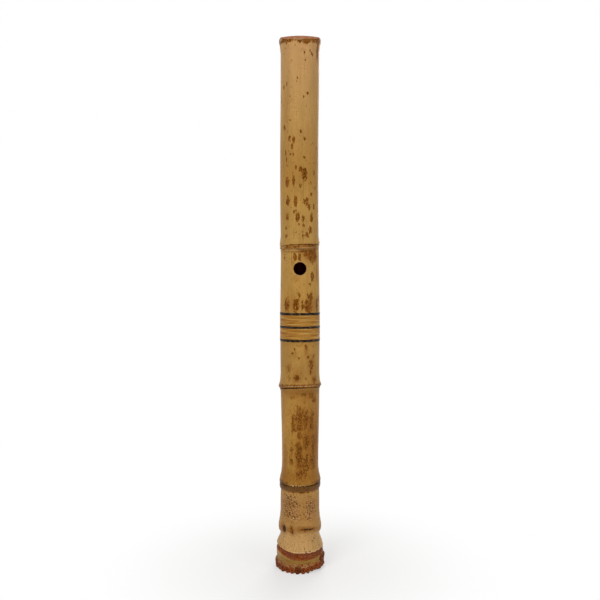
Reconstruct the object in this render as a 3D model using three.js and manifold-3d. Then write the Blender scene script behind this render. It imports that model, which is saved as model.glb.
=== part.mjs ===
// A shakuhachi: an end-blown bamboo flute in two halves that part at a bound middle joint.
// Millimetres, +Z up. It stands on its root end with its mouth end up, its thumb hole facing -Y
// and its four finger holes and the blowing edge facing +Y.
import * as THREE from "three";
import { mergeVertices } from "three/addons/utils/BufferGeometryUtils.js";
import Module from "manifold-3d";

const wasm = await Module();
wasm.setup();

// Lengths along the flute, from the root end. The joint and the holes follow the sounding length.
const fluteLength = 545;
const jointShare = 0.463;
const fingerHoleShares = [0.22, 0.32, 0.42, 0.52];
const lowerHoleCount = 3;
const thumbHoleShare = 0.572;

// The root end leans forward in a gentle sweep.
const rootSweep = 5;
const sweepHeight = 150;

// Outside of the culm between its nodes
const footRadius = 19.6;
const rimHeight = 13;
const rimRadius = 24.4;
const scarBandHeight = 22;
const scarBandRadius = 23.9;
const neckHeight = 36.5;
const neckRadius = 20.4;
const stemHeight = 70;
const stemRadius = 20.2;
const waistHeight = 115;
const waistRadius = 19.2;
const lowerCulmRadius = 20.1;
const jointRadius = 20.3;
const upperCulmRadius = 19.6;
const mouthNeckRadius = 19.7;
const mouthNeckDrop = 16;
const mouthFlareRadius = 20.4;
const mouthFlareDrop = 8;
const mouthRimRadius = 21.5;
const mouthRimDrop = 2.2;
const mouthTopRadius = 20.6;

// Nodes of the bamboo: a rounded swell, and under it the thin groove that the sheath left
const rootNodeHeight = 45;
const rootNodeSwell = 1.9;
const rootNodeReach = 8;
const lowNodeHeight = 95;
const lowNodeSwell = 1.7;
const lowNodeReach = 9;
const midNodeHeight = 192;
const midNodeSwell = 2.2;
const midNodeReach = 6;
const highNodeHeight = 333;
const highNodeSwell = 1;
const highNodeReach = 6;
const sheathGrooveDepth = 0.4;
const sheathGrooveWidth = 1.2;
const nodeStationShares = [-1, -0.6, -0.3, 0, 0.3, 0.6, 1];

// Roots at the foot, trimmed to one flared outline
const rootCount = 28;
const rootRadius = 2.3;
const rootLength = 17;
const rootStartRadius = 17.6;
const rootStartHeight = 15.2;
const rootDip = THREE.MathUtils.degToRad(52);
const rootSizeShare = 0.16;
const rootRhythm = 2.4;
const trimTopRadius = 27.8;
const trimTopHeight = 16;
const trimFootRadius = 24.6;

// Bore, and the lacquered lining that forms it
const boreMouthRadius = 10.2;
const boreJointRadius = 8.9;
const boreThroatRadius = 7.9;
const boreThroatHeight = 105;
const boreBellRadius = 9.1;
const liningWall = 1.8;

// Holes for the fingers and the thumb
const fingerHoleRadius = 5.7;
const thumbHoleRadius = 6.5;

// Mouth end: the slanted cut with the blowing edge in front, and the chin bevel at the back
const blowingEdgeDepth = 3;
const blowingCutAngle = THREE.MathUtils.degToRad(36);
const inlayTopWidth = 16.4;
const inlayFootWidth = 10.4;
const inlayLength = 8;
const inlayThickness = 2.6;
const chinBevelHeight = 6.2;
const chinBevelInset = 9.5;

// Middle joint
const tenonRadius = 12.6;
const tenonMargin = 1.8;
const tenonChamfer = 0.6;
const sleeveWall = 1.2;

// Binding: strands wound in level loops that each climb one pitch in a short stretch
const rattanLoops = 9;
const edgeCordLoops = 2;
const jointCordLoops = 1;
const strandRadius = 0.38;
const strandPitch = 1.24;
const bindingStand = 0.5;
const turnInRadius = 0.8;
const climbAngle = THREE.MathUtils.degToRad(40);
const cordEndAngle = THREE.MathUtils.degToRad(10);
const backSeamAngle = THREE.MathUtils.degToRad(-86);
const frontSeamAngle = THREE.MathUtils.degToRad(100);

// Running and assembly clearances, and how far a cutting tool runs past the work
const clearance = 0.3;
const strandClearance = 0.35;
const overrun = 10;

// Fineness of the faceted surfaces
const culmSides = 32;
const liningSides = 24;
const holeSides = 20;
const rootSides = 8;
const stationSpacing = 34;
const leastStationSpacing = 0.5;
const loopSteps = 24;
const strandSides = 6;
const turnInSteps = 3;
const fullTurn = 2 * Math.PI;

// Heights and radii that follow from the values above
const jointHeight = fluteLength * jointShare;
const fingerHoleHeights = fingerHoleShares.map((share) => fluteLength * share);
const lowerHoleHeights = fingerHoleHeights.slice(0, lowerHoleCount);
const upperHoleHeights = fingerHoleHeights.slice(lowerHoleCount);
const thumbHoleHeight = fluteLength * thumbHoleShare;
const strandDiameter = 2 * strandRadius;
const jointFaceOffset = clearance / 2;
const jointCordLevel = jointFaceOffset + strandRadius;
const rattanFirstLevel = jointCordLevel + strandPitch;
const rattanLastLevel = rattanFirstLevel + (rattanLoops - 1) * strandPitch;
const edgeCordFirstLevel = rattanLastLevel + strandPitch;
const edgeCordLastLevel = edgeCordFirstLevel + (edgeCordLoops - 1) * strandPitch;
const bindingReach = edgeCordLastLevel + strandRadius + clearance;
const grooveRadius = jointRadius + bindingStand - strandDiameter - strandClearance;
const windingRadius = grooveRadius + strandClearance + strandRadius;
const tenonTop = fingerHoleHeights[lowerHoleCount] - fingerHoleRadius - tenonMargin;
const tenonFoot = fingerHoleHeights[lowerHoleCount - 1] + fingerHoleRadius + tenonMargin;
const tenonHoleRadius = tenonRadius + clearance;
const sleeveRadius = tenonHoleRadius + sleeveWall;
const socketRadius = sleeveRadius + clearance;

const smooth = THREE.MathUtils.smoothstep;

const nodes = [
  { height: rootNodeHeight, swell: rootNodeSwell, reach: rootNodeReach },
  { height: lowNodeHeight, swell: lowNodeSwell, reach: lowNodeReach },
  { height: midNodeHeight, swell: midNodeSwell, reach: midNodeReach },
  { height: highNodeHeight, swell: highNodeSwell, reach: highNodeReach },
];

// Culm outline between the nodes as [height, radius], from the foot to the mouth rim
const culmOutline = [
  [0, footRadius],
  [rimHeight, rimRadius],
  [scarBandHeight, scarBandRadius],
  [neckHeight, neckRadius],
  [stemHeight, stemRadius],
  [waistHeight, waistRadius],
  [midNodeHeight, lowerCulmRadius],
  [jointHeight - bindingReach, jointRadius],
  [jointHeight + bindingReach, jointRadius],
  [highNodeHeight, upperCulmRadius],
  [fluteLength - mouthNeckDrop, mouthNeckRadius],
  [fluteLength - mouthFlareDrop, mouthFlareRadius],
  [fluteLength - mouthRimDrop, mouthRimRadius],
  [fluteLength, mouthTopRadius],
];

// Bore as [height, radius], from the bell at the root end to the mouth
const boreOutline = [
  [0, boreBellRadius],
  [boreThroatHeight, boreThroatRadius],
  [jointHeight, boreJointRadius],
  [fluteLength, boreMouthRadius],
];

// Radius at a height, with an easy curve between the points of an outline
function outlineRadius(outline, height) {
  const last = outline.length - 1;
  if (height <= outline[0][0]) return outline[0][1];
  if (height >= outline[last][0]) return outline[last][1];
  const next = outline.findIndex(([top]) => top > height);
  const [lowHeight, lowRadius] = outline[next - 1];
  const [highHeight, highRadius] = outline[next];
  const share = smooth(height, lowHeight, highHeight);
  return THREE.MathUtils.lerp(lowRadius, highRadius, share);
}

function grooveHeight(node) {
  return node.height - node.reach / 2;
}

function culmRadiusAt(height) {
  let radius = outlineRadius(culmOutline, height);
  for (const node of nodes) {
    const offset = (height - node.height) / node.reach;
    if (Math.abs(offset) < 1) radius += node.swell * (1 - offset ** 2) ** 2;
    const fromGroove = Math.abs(height - grooveHeight(node)) / (sheathGrooveWidth / 2);
    if (fromGroove < 1) radius -= sheathGrooveDepth * (1 - fromGroove);
  }
  return radius;
}

function boreRadiusAt(height) {
  return outlineRadius(boreOutline, height);
}

// How far the flute's centre line has moved forward at a height
function sweepAt(height) {
  return rootSweep * Math.max(0, 1 - height / sweepHeight) ** 2;
}

// Heights at which the outline of a stretch of culm gets a ring of points
function culmStations(low, high) {
  const heights = [low, high];
  const steps = Math.round((high - low) / stationSpacing);
  for (let step = 1; step < steps; step += 1) heights.push(THREE.MathUtils.lerp(low, high, step / steps));
  for (const [height] of culmOutline) heights.push(height);
  for (const node of nodes) {
    for (const share of nodeStationShares) heights.push(node.height + share * node.reach);
    for (const side of [-1, 0, 1]) heights.push(grooveHeight(node) + (side * sheathGrooveWidth) / 2);
  }
  const inside = heights.filter((height) => height > low && height < high).sort((a, b) => a - b);
  const kept = [low];
  for (const height of inside) {
    const clear = height - kept[kept.length - 1] > leastStationSpacing;
    if (clear && high - height > leastStationSpacing) kept.push(height);
  }
  return [...kept, high];
}

// Heights at which a stretch of bore gets a ring of points
function boreStations(low, high) {
  const steps = Math.max(1, Math.round((high - low) / (2 * stationSpacing)));
  const heights = [];
  for (let step = 0; step <= steps; step += 1) heights.push(THREE.MathUtils.lerp(low, high, step / steps));
  return heights;
}

function toSolid(geometry) {
  const bare = geometry.clone();
  bare.deleteAttribute("normal");
  bare.deleteAttribute("uv");
  const merged = mergeVertices(bare);
  return new wasm.Manifold(
    new wasm.Mesh({
      numProp: 3,
      vertProperties: new Float32Array(merged.attributes.position.array),
      triVerts: new Uint32Array(merged.index.array),
    }),
  );
}

function toGeometry(solid) {
  const mesh = solid.getMesh();
  const geometry = new THREE.BufferGeometry();
  geometry.setAttribute("position", new THREE.BufferAttribute(new Float32Array(mesh.vertProperties), 3));
  geometry.setIndex(new THREE.BufferAttribute(new Uint32Array(mesh.triVerts), 1));
  geometry.computeVertexNormals();
  return geometry;
}

// A turned ring body: its section is a closed outline of [radius, height] points, outside first
function turned(section, sides) {
  const points = [...section, section[0]].map(([radius, height]) => new THREE.Vector2(radius, height));
  return new THREE.LatheGeometry(points, sides).rotateX(Math.PI / 2);
}

// Moves every ring of points forward with the flute's sweep
function swept(geometry) {
  const position = geometry.attributes.position;
  for (let i = 0; i < position.count; i += 1) {
    position.setY(i, position.getY(i) + sweepAt(position.getZ(i)));
  }
  return geometry;
}

// A straight round cutter from the flute's axis outwards, facing +Y for 1 and -Y for -1
function holeCutter(radius, height, facing) {
  const length = rimRadius + overrun;
  const cutter = new THREE.CylinderGeometry(radius, radius, length, holeSides);
  return toSolid(cutter.translate(0, (facing * length) / 2, height));
}

function fingerHoleCutters(heights) {
  return heights.map((height) => holeCutter(fingerHoleRadius, height, 1));
}

function cutAll(solid, cutters) {
  return cutters.reduce((rest, cutter) => rest.subtract(cutter), solid);
}

// Blowing cut at the front. In its own frame X runs across the flute, Y down the slope and Z out of the
// cut face; its origin is the middle of the blowing edge.
const blowingCutFrame = new THREE.Matrix4()
  .makeBasis(
    new THREE.Vector3(1, 0, 0),
    new THREE.Vector3(0, Math.sin(blowingCutAngle), -Math.cos(blowingCutAngle)),
    new THREE.Vector3(0, Math.cos(blowingCutAngle), Math.sin(blowingCutAngle)),
  )
  .setPosition(0, boreMouthRadius, fluteLength - blowingEdgeDepth);

function blowingCutter() {
  const size = 2 * (mouthRimRadius + overrun);
  const block = new THREE.BoxGeometry(size, size, size);
  return toSolid(block.translate(0, 0, size / 2).applyMatrix4(blowingCutFrame));
}

// The inlay's outline in the cut's frame, widened all round by an allowance and raised out of the cut face
function inlayBlock(allowance, rise) {
  const top = -(blowingEdgeDepth / Math.cos(blowingCutAngle) + overrun);
  const foot = inlayLength + allowance;
  const taper = (inlayTopWidth - inlayFootWidth) / (2 * (inlayLength + blowingEdgeDepth));
  const footHalf = inlayFootWidth / 2 + allowance;
  const topHalf = footHalf + taper * (foot - top);
  const outline = new THREE.Shape();
  outline.moveTo(-footHalf, foot);
  outline.lineTo(-topHalf, top);
  outline.lineTo(topHalf, top);
  outline.lineTo(footHalf, foot);
  outline.closePath();
  const sunk = inlayThickness + allowance;
  const block = new THREE.ExtrudeGeometry(outline, { depth: sunk + rise, bevelEnabled: false });
  return toSolid(block.translate(0, 0, -sunk).applyMatrix4(blowingCutFrame));
}

// Chin bevel at the back: from the outside of the rim up and in to the top face
function chinCutter() {
  const angle = Math.atan2(chinBevelHeight, chinBevelInset);
  const size = 2 * (mouthRimRadius + overrun);
  const block = new THREE.BoxGeometry(size, size, size).translate(0, 0, size / 2).rotateX(angle);
  return toSolid(block.translate(0, -mouthRimRadius, fluteLength - chinBevelHeight));
}

// Small pockets in the culm where the ends of a winding turn in
function turnInPockets(winding) {
  const span = strandDiameter + 2 * clearance;
  const deepest = windingRadius - turnInRadius - strandDiameter - clearance;
  const reach = windingRadius + overrun - deepest;
  return windingEnds(winding).map(({ angle, side, level }) => {
    const block = new THREE.BoxGeometry(reach, span, span);
    block.translate(deepest + reach / 2, side * turnInRadius, 0);
    return toSolid(block.rotateZ(angle).translate(0, 0, winding.height + level));
  });
}

// The two ends of a winding: the angle where each leaves its loop, the side that it turns to, its level
function windingEnds({ loops, seamAngle, restAngle }) {
  return [
    { angle: seamAngle, side: -1, level: 0 },
    { angle: seamAngle + loops * fullTurn - restAngle, side: 1, level: (loops - 1) * strandPitch },
  ];
}

// Centre line of one winding, from one turned-in end to the other
function windingPath(winding) {
  const { loops, seamAngle, restAngle } = winding;
  const [start, end] = windingEnds(winding);
  const bodyAngle = loops * fullTurn - restAngle;
  const steps = Math.round((loopSteps * bodyAngle) / fullTurn);
  const path = turnedIn(start);
  for (let step = 0; step <= steps; step += 1) {
    const angle = (bodyAngle * step) / steps;
    const loop = Math.floor(angle / fullTurn);
    const climb = smooth(angle - loop * fullTurn, fullTurn - restAngle, fullTurn);
    const level = Math.min(loop + climb, loops - 1) * strandPitch;
    path.push(around(windingRadius, seamAngle + angle, level));
  }
  return [...path, ...turnedIn(end).toReversed()];
}

function around(radius, angle, height) {
  return new THREE.Vector3(radius * Math.cos(angle), radius * Math.sin(angle), height);
}

// The turned-in end of a strand: straight in for one strand diameter, then a quarter bend up to its loop
function turnedIn({ angle, side, level }) {
  const bendCentre = windingRadius - turnInRadius;
  const points = [new THREE.Vector3(bendCentre - strandDiameter, side * turnInRadius, level)];
  for (let step = 0; step < turnInSteps; step += 1) {
    const bend = ((Math.PI / 2) * step) / turnInSteps;
    const out = bendCentre + turnInRadius * Math.sin(bend);
    points.push(new THREE.Vector3(out, side * turnInRadius * Math.cos(bend), level));
  }
  const turn = new THREE.Matrix4().makeRotationZ(angle);
  return points.map((point) => point.applyMatrix4(turn));
}

// Least gap between stretches of one strand that aren't neighbours along it, measured on its centre line
function leastGap(path) {
  let least = Infinity;
  const along = [0];
  for (let i = 1; i < path.length; i += 1) along.push(along[i - 1] + path[i].distanceTo(path[i - 1]));
  const nearest = new THREE.Vector3();
  for (let i = 0; i < path.length; i += 1) {
    for (let j = 0; j + 1 < path.length; j += 1) {
      const apart = Math.min(Math.abs(along[i] - along[j]), Math.abs(along[i] - along[j + 1]));
      if (apart < 2 * turnInRadius + 2 * strandDiameter) continue;
      new THREE.Line3(path[j], path[j + 1]).closestPointToPoint(path[i], true, nearest);
      least = Math.min(least, nearest.distanceTo(path[i]) - strandDiameter);
    }
  }
  return least;
}

// A tube along a path, with a ring of points square to it at each step and flat ends
function strandTube(path) {
  const positions = [];
  const indices = [];
  const up = new THREE.Vector3(0, 0, 1);
  path.forEach((point, i) => {
    const before = path[Math.max(i - 1, 0)];
    const after = path[Math.min(i + 1, path.length - 1)];
    const along = new THREE.Vector3().subVectors(after, before).normalize();
    const out = new THREE.Vector3().crossVectors(along, up).normalize();
    const over = new THREE.Vector3().crossVectors(out, along);
    for (let side = 0; side < strandSides; side += 1) {
      const angle = (fullTurn * side) / strandSides;
      const corner = point.clone();
      corner.addScaledVector(out, strandRadius * Math.cos(angle));
      corner.addScaledVector(over, strandRadius * Math.sin(angle));
      positions.push(...corner);
    }
  });
  for (let i = 0; i + 1 < path.length; i += 1) {
    for (let side = 0; side < strandSides; side += 1) {
      const a = i * strandSides + side;
      const b = i * strandSides + ((side + 1) % strandSides);
      indices.push(a, b + strandSides, b, a, a + strandSides, b + strandSides);
    }
  }
  const end = (path.length - 1) * strandSides;
  for (let side = 1; side + 1 < strandSides; side += 1) {
    indices.push(0, side, side + 1);
    indices.push(end, end + side + 1, end + side);
  }
  const geometry = new THREE.BufferGeometry();
  geometry.setAttribute("position", new THREE.Float32BufferAttribute(positions, 3));
  geometry.setIndex(indices);
  geometry.computeVertexNormals();
  return geometry;
}

// The windings of each half, by name. Height is the level of a winding's lowest loop.
const rattanShape = { loops: rattanLoops, seamAngle: frontSeamAngle, restAngle: climbAngle };
const edgeCordShape = { loops: edgeCordLoops, seamAngle: frontSeamAngle, restAngle: climbAngle };
const jointCordShape = { loops: jointCordLoops, seamAngle: backSeamAngle, restAngle: cordEndAngle };
const upperWindings = {
  upper_edge_cord: { ...edgeCordShape, height: jointHeight + edgeCordFirstLevel },
  upper_rattan_binding: { ...rattanShape, height: jointHeight + rattanFirstLevel },
  upper_joint_cord: { ...jointCordShape, height: jointHeight + jointCordLevel },
};
const lowerWindings = {
  lower_joint_cord: { ...jointCordShape, height: jointHeight - jointCordLevel },
  lower_rattan_binding: { ...rattanShape, height: jointHeight - rattanLastLevel },
  lower_edge_cord: { ...edgeCordShape, height: jointHeight - edgeCordLastLevel },
};

// Inside of a culm round its lining
function cavityRadiusAt(height) {
  return boreRadiusAt(height) + liningWall + clearance;
}

function upperCulm() {
  const foot = jointHeight + jointFaceOffset;
  const grooveTop = jointHeight + bindingReach;
  const socketTop = tenonTop + clearance;
  const outside = culmStations(grooveTop, fluteLength).map((height) => [culmRadiusAt(height), height]);
  const inside = boreStations(socketTop, fluteLength).map((height) => [cavityRadiusAt(height), height]);
  const section = [
    [socketRadius, foot],
    [grooveRadius, foot],
    [grooveRadius, grooveTop],
    ...outside,
    ...inside.toReversed(),
    [socketRadius, socketTop],
  ];
  return cutAll(toSolid(turned(section, culmSides)), [
    ...fingerHoleCutters(upperHoleHeights),
    holeCutter(thumbHoleRadius, thumbHoleHeight, -1),
    blowingCutter(),
    inlayBlock(clearance, overrun),
    chinCutter(),
    ...Object.values(upperWindings).flatMap(turnInPockets),
  ]);
}

// The trimmed roots, each a short peg that dips outwards, cut to one flared outline and a flat foot
function roots() {
  let pegs;
  for (let i = 0; i < rootCount; i += 1) {
    const radius = rootRadius * (1 + rootSizeShare * Math.sin(i * rootRhythm));
    const peg = new THREE.CylinderGeometry(radius, radius, rootLength, rootSides);
    peg.translate(0, rootLength / 2, 0);
    peg.rotateX(-rootDip);
    peg.translate(0, rootStartRadius, rootStartHeight);
    peg.rotateZ((fullTurn * i) / rootCount);
    const solid = toSolid(peg);
    pegs = pegs ? pegs.add(solid) : solid;
  }
  const trim = new THREE.CylinderGeometry(trimTopRadius, trimFootRadius, trimTopHeight, culmSides);
  trim.rotateX(Math.PI / 2).translate(0, 0, trimTopHeight / 2);
  return toSolid(swept(toGeometry(pegs.intersect(toSolid(trim)))));
}

function lowerCulm() {
  const top = jointHeight - jointFaceOffset;
  const grooveFoot = jointHeight - bindingReach;
  const seat = tenonFoot - clearance;
  const outside = culmStations(0, grooveFoot).map((height) => [culmRadiusAt(height), height]);
  const inside = boreStations(0, seat).map((height) => [cavityRadiusAt(height), height]);
  const section = [
    ...outside,
    [grooveRadius, grooveFoot],
    [grooveRadius, top],
    [tenonHoleRadius, top],
    [tenonHoleRadius, seat],
    ...inside.toReversed(),
  ];
  const culm = toSolid(swept(turned(section, culmSides)));
  const cavity = toSolid(swept(turned([[0, 0], ...inside, [0, seat]], culmSides)));
  return cutAll(culm.add(roots().subtract(cavity)), [
    ...fingerHoleCutters(lowerHoleHeights),
    ...Object.values(lowerWindings).flatMap(turnInPockets),
  ]);
}

function boreLining(low, high) {
  const heights = boreStations(low, high);
  const outside = heights.map((height) => [boreRadiusAt(height) + liningWall, height]);
  const inside = heights.map((height) => [boreRadiusAt(height), height]);
  return toSolid(swept(turned([...outside, ...inside.toReversed()], liningSides)));
}

function upperBoreLining() {
  return cutAll(boreLining(tenonTop + clearance, fluteLength), [
    ...fingerHoleCutters(upperHoleHeights),
    holeCutter(thumbHoleRadius, thumbHoleHeight, -1),
    blowingCutter(),
    inlayBlock(clearance, overrun),
  ]);
}

function lowerBoreLining() {
  return cutAll(boreLining(0, tenonFoot - clearance), fingerHoleCutters(lowerHoleHeights));
}

function tenon() {
  const bore = boreJointRadius;
  const section = [
    [tenonRadius - tenonChamfer, tenonFoot],
    [tenonRadius, tenonFoot + tenonChamfer],
    [tenonRadius, tenonTop - tenonChamfer],
    [tenonRadius - tenonChamfer, tenonTop],
    [bore, tenonTop],
    [bore, tenonFoot],
  ];
  return toSolid(turned(section, culmSides));
}

function socketSleeve() {
  const foot = jointHeight + jointFaceOffset;
  const section = [
    [sleeveRadius, foot],
    [sleeveRadius, tenonTop],
    [tenonHoleRadius, tenonTop],
    [tenonHoleRadius, foot],
  ];
  return toSolid(turned(section, culmSides));
}

function blowingEdgeInlay() {
  const bore = new THREE.CylinderGeometry(boreMouthRadius, boreMouthRadius, fluteLength, culmSides);
  bore.rotateX(Math.PI / 2).translate(0, 0, fluteLength / 2 + overrun);
  const size = 2 * (mouthRimRadius + overrun);
  const above = new THREE.BoxGeometry(size, size, size).translate(0, 0, fluteLength + size / 2);
  return cutAll(inlayBlock(0, 0), [toSolid(bore), toSolid(above)]);
}

const finishes = {
  bamboo: new THREE.MeshStandardMaterial({ color: 0xb28c54, roughness: 0.45, metalness: 0 }),
  rattan: new THREE.MeshStandardMaterial({ color: 0xc69a5c, roughness: 0.5, metalness: 0 }),
  blackCord: new THREE.MeshStandardMaterial({ color: 0x1a1918, roughness: 0.4, metalness: 0 }),
  redLacquer: new THREE.MeshStandardMaterial({ color: 0x5a1a14, roughness: 0.25, metalness: 0 }),
  horn: new THREE.MeshStandardMaterial({ color: 0x2a2420, roughness: 0.2, metalness: 0 }),
};

function piece(name, geometry, finish) {
  const mesh = new THREE.Mesh(geometry, finish);
  mesh.name = name;
  return mesh;
}

function windingPieces(windings) {
  return Object.entries(windings).map(([name, winding]) => {
    const path = windingPath(winding);
    console.log(name + ": least gap to itself " + leastGap(path).toFixed(2) + " mm");
    const finish = name.includes("rattan") ? finishes.rattan : finishes.blackCord;
    const mesh = piece(name, strandTube(path), finish);
    mesh.position.z = winding.height;
    return mesh;
  });
}

const lowerHalf = new THREE.Group();
lowerHalf.add(
  piece("lower_culm", toGeometry(lowerCulm()), finishes.bamboo),
  piece("lower_bore_lining", toGeometry(lowerBoreLining()), finishes.redLacquer),
  piece("tenon", toGeometry(tenon()), finishes.bamboo),
  ...windingPieces(lowerWindings),
);

const upperHalf = new THREE.Group();
upperHalf.add(
  piece("upper_culm", toGeometry(upperCulm()), finishes.bamboo),
  piece("upper_bore_lining", toGeometry(upperBoreLining()), finishes.redLacquer),
  piece("socket_sleeve", toGeometry(socketSleeve()), finishes.redLacquer),
  piece("blowing_edge_inlay", toGeometry(blowingEdgeInlay()), finishes.horn),
  ...windingPieces(upperWindings),
);

// The flute's origin is the middle of its outline, on the face that it stands on.
const flute = new THREE.Group();
flute.add(lowerHalf, upperHalf);
const middle = new THREE.Box3().setFromObject(flute).getCenter(new THREE.Vector3());
flute.position.set(-middle.x, -middle.y, 0);

export default flute;
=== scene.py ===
"""Looks of a bamboo flute with a root end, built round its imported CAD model."""

import math
from contextlib import contextmanager
from functools import partial

import bmesh
import bpy
import numpy as np
from bpy.props import FloatProperty, FloatVectorProperty, IntProperty, PointerProperty
from mathutils import Matrix, Vector, noise


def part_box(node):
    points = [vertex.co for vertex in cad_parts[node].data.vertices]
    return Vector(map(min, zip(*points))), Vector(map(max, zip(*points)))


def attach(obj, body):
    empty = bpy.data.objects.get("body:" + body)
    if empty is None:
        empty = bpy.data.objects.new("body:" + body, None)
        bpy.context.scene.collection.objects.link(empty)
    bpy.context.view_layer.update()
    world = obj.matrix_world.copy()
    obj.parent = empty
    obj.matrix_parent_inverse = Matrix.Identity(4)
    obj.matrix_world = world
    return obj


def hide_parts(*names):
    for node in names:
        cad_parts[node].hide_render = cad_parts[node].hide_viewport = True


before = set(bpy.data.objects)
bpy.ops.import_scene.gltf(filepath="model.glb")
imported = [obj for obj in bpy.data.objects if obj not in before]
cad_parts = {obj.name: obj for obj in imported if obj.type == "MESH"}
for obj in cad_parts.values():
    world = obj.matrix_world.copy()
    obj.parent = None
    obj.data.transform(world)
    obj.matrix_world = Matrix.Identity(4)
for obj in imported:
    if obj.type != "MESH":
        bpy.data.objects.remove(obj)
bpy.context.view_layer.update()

bl_info = {
    "name": "Shakuhachi",
    "version": (1, 0, 0),
    "blender": (4, 5, 0),
    "location": "3D View > Sidebar > Shakuhachi",
    "description": "Builds a bamboo flute with a root end and a bound middle joint",
    "category": "Add Mesh",
}

MM = 0.001
FULL_TURN = 2 * math.pi
SKIN = 20.3
# Marks of the skin, one attribute each: the pale one holds only painted highlights, and the darkest holds soot lines
# together with painted shade under the roots and in the lip's hollows
MARKS = ("mottling", "toasting", "soot", "cork", "wear", "pits", "bruise")

# Places that come from the CAD solids, in millimetres
SLEEVE_LOW, SLEEVE_HIGH = (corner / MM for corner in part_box("socket_sleeve"))
AXIS_X = (SLEEVE_LOW.x + SLEEVE_HIGH.x) / 2
AXIS_Y = (SLEEVE_LOW.y + SLEEVE_HIGH.y) / 2
LOWER_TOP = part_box("lower_culm")[1].z / MM
UPPER_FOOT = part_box("upper_culm")[0].z / MM
FLUTE_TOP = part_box("upper_culm")[1].z / MM
JOINT_HEIGHT = (LOWER_TOP + UPPER_FOOT) / 2
TENON_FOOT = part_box("tenon")[0].z / MM
TENON_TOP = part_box("tenon")[1].z / MM
TENON_RADIUS = (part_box("tenon")[1].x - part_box("tenon")[0].x) / 2 / MM
SLEEVE_RADIUS = (SLEEVE_HIGH.x - SLEEVE_LOW.x) / 2
LOWER_LINING_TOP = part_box("lower_bore_lining")[1].z / MM
UPPER_LINING_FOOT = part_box("upper_bore_lining")[0].z / MM
BINDING_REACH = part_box("upper_edge_cord")[1].z / MM + 0.3 - JOINT_HEIGHT

# Outline of the culm between its nodes, as height and radius
OUTLINE = (
    (0, 18.6), (3, 21.4), (7.4, 23.5), (13, 24.4), (22, 23.7), (36.5, 20.4), (70, 20.2), (115, 18.9), (192, 20.0),
    (JOINT_HEIGHT - BINDING_REACH, 20.3), (JOINT_HEIGHT + BINDING_REACH, 20.3), (333, 19.6), (FLUTE_TOP - 16, 19.7),
    (FLUTE_TOP - 8, 20.4), (FLUTE_TOP - 3, 21.3), (FLUTE_TOP - 1.4, 21.35), (FLUTE_TOP - 0.4, 20.9), (FLUTE_TOP, 20.3),
)
BORE = ((0, 9.1), (105, 7.9), (JOINT_HEIGHT, 8.9), (FLUTE_TOP, 10.2))
LINING_WALL = 1.8
# Gaps that keep neighbours from sharing a face: lining and culm, inlay and its seat, tenon and culm, tenon and sleeve
LINING_GAP, INLAY_GAP, TENON_GAP, SLIDE_GAP = 0.03, 0.02, 0.25, 0.28
# Points round a turned body, and how far the cutters of the mouth end reach
TURNED_SIDES, CUTTER_REACH = 72, 30.0
ROOT_SWEEP, SWEEP_HEIGHT = 5.0, 150.0
# Sideways bends: how far to the right, and between which heights
BENDS = ((-0.7, 285, 525), (0.3, 60, 225))
SEAT_RADIUS = 19.95
# Height from ring to ring of the culm where there is fine relief and elsewhere, and how near points are joined
FINE_STEP, PLAIN_STEP, WELD = 0.4, 0.95, 0.002

# Nodes of the bamboo: the height of each one's groove at the back, and its relief as height above that groove
# and radius added
NODES = {
    "high": (331.4, ((-8, 0), (-2, 0), (-0.7, 0.3), (0, -0.35), (0.8, 0.65), (2.4, 0.95), (3.8, 0.75), (4.6, 0.3),
                     (5.4, 0.7), (7, 0.95), (10, 0.5), (15, 0))),
    "middle": (191.2, ((-6, 0), (-2.6, 0.2), (-0.7, 0.8), (0, 0.1), (0.6, 1.6), (1.5, 2.1), (2.3, 1.9), (2.7, 1.5),
                       (6, 0.6), (10, 0.2), (14, 0))),
    "low": (90.5, ((-9, 0), (-6.4, 0.2), (-5, 1.1), (-3, 1.55), (-0.9, 1.6), (0, 0.75), (0.9, 1.75), (2.8, 1.9),
                   (6, 1.3), (11, 0.45), (17, 0))),
    "root": (46.6, ((-10, 0), (-5.8, 0.45), (-3.6, 1.6), (0, 1.95), (3, 1.85), (6, 1.2), (10, 0.45), (16, 0))),
}
# Rows of height at the back, and how much higher the same line runs on the left, on the right and at the front
STRAY = (
    (9, 0, 0, 0), (13.8, 6.5, 2.5, 1.5), (21.6, 4.2, 1.6, 1), (33, 0.6, 0.3, 0), (46.6, -4, -4, -7),
    (60, -1.5, -1.5, -2.5), (72, 0, 0, 0), (80, -0.5, 0.2, 0), (90.5, -1.1, 0.4, 0.6), (106, 0, 0, 0), (178, 0, 0, 0),
    (191.2, -2.9, -0.8, -1.5), (193.7, -1.5, -0.3, -0.8), (203, 0, 0, 0), (316, 0, 0, 0), (331.4, 0, 4, 1.5),
    (336, -1.7, 0.4, -0.5), (350, 0, 0, 0),
)
# The band of root scars between the roots and the neck
SCAR_FOOT, SCAR_TOP = 13.8, 21.6

# Roots that the back shows: degrees to the right from the back, height, width, length of the cut face and darkness
BACK_ROOTS = (
    (-84, 5.8, 1.0, 1.3, 0.3), (-71, 5.3, 1.1, 1.4, 0.35), (-58, 4.6, 1.15, 1.45, 0.3), (-45, 4.2, 1.05, 1.4, 0.2),
    (-31.5, 3.9, 1.02, 1.36, 0.1), (-18.4, 3.7, 1.0, 1.36, 0.0), (-5, 3.8, 1.02, 1.4, 0.65),
    (8, 3.6, 0.96, 1.36, 0.15), (19, 4.3, 0.84, 1.25, 0.0), (30, 5.6, 0.8, 1.2, 0.0), (43, 6.8, 1.15, 1.3, 0.0),
    (57, 6.3, 1.2, 1.4, 0.1), (70, 6.6, 1.1, 1.35, 0.4), (66, 13.4, 1.1, 1.5, 0.45), (79, 13.4, 1.2, 1.45, 0.4),
)
# Where the other roots stand, in the same degrees
FRONT_FROM, FRONT_TO = 84, 284
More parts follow.
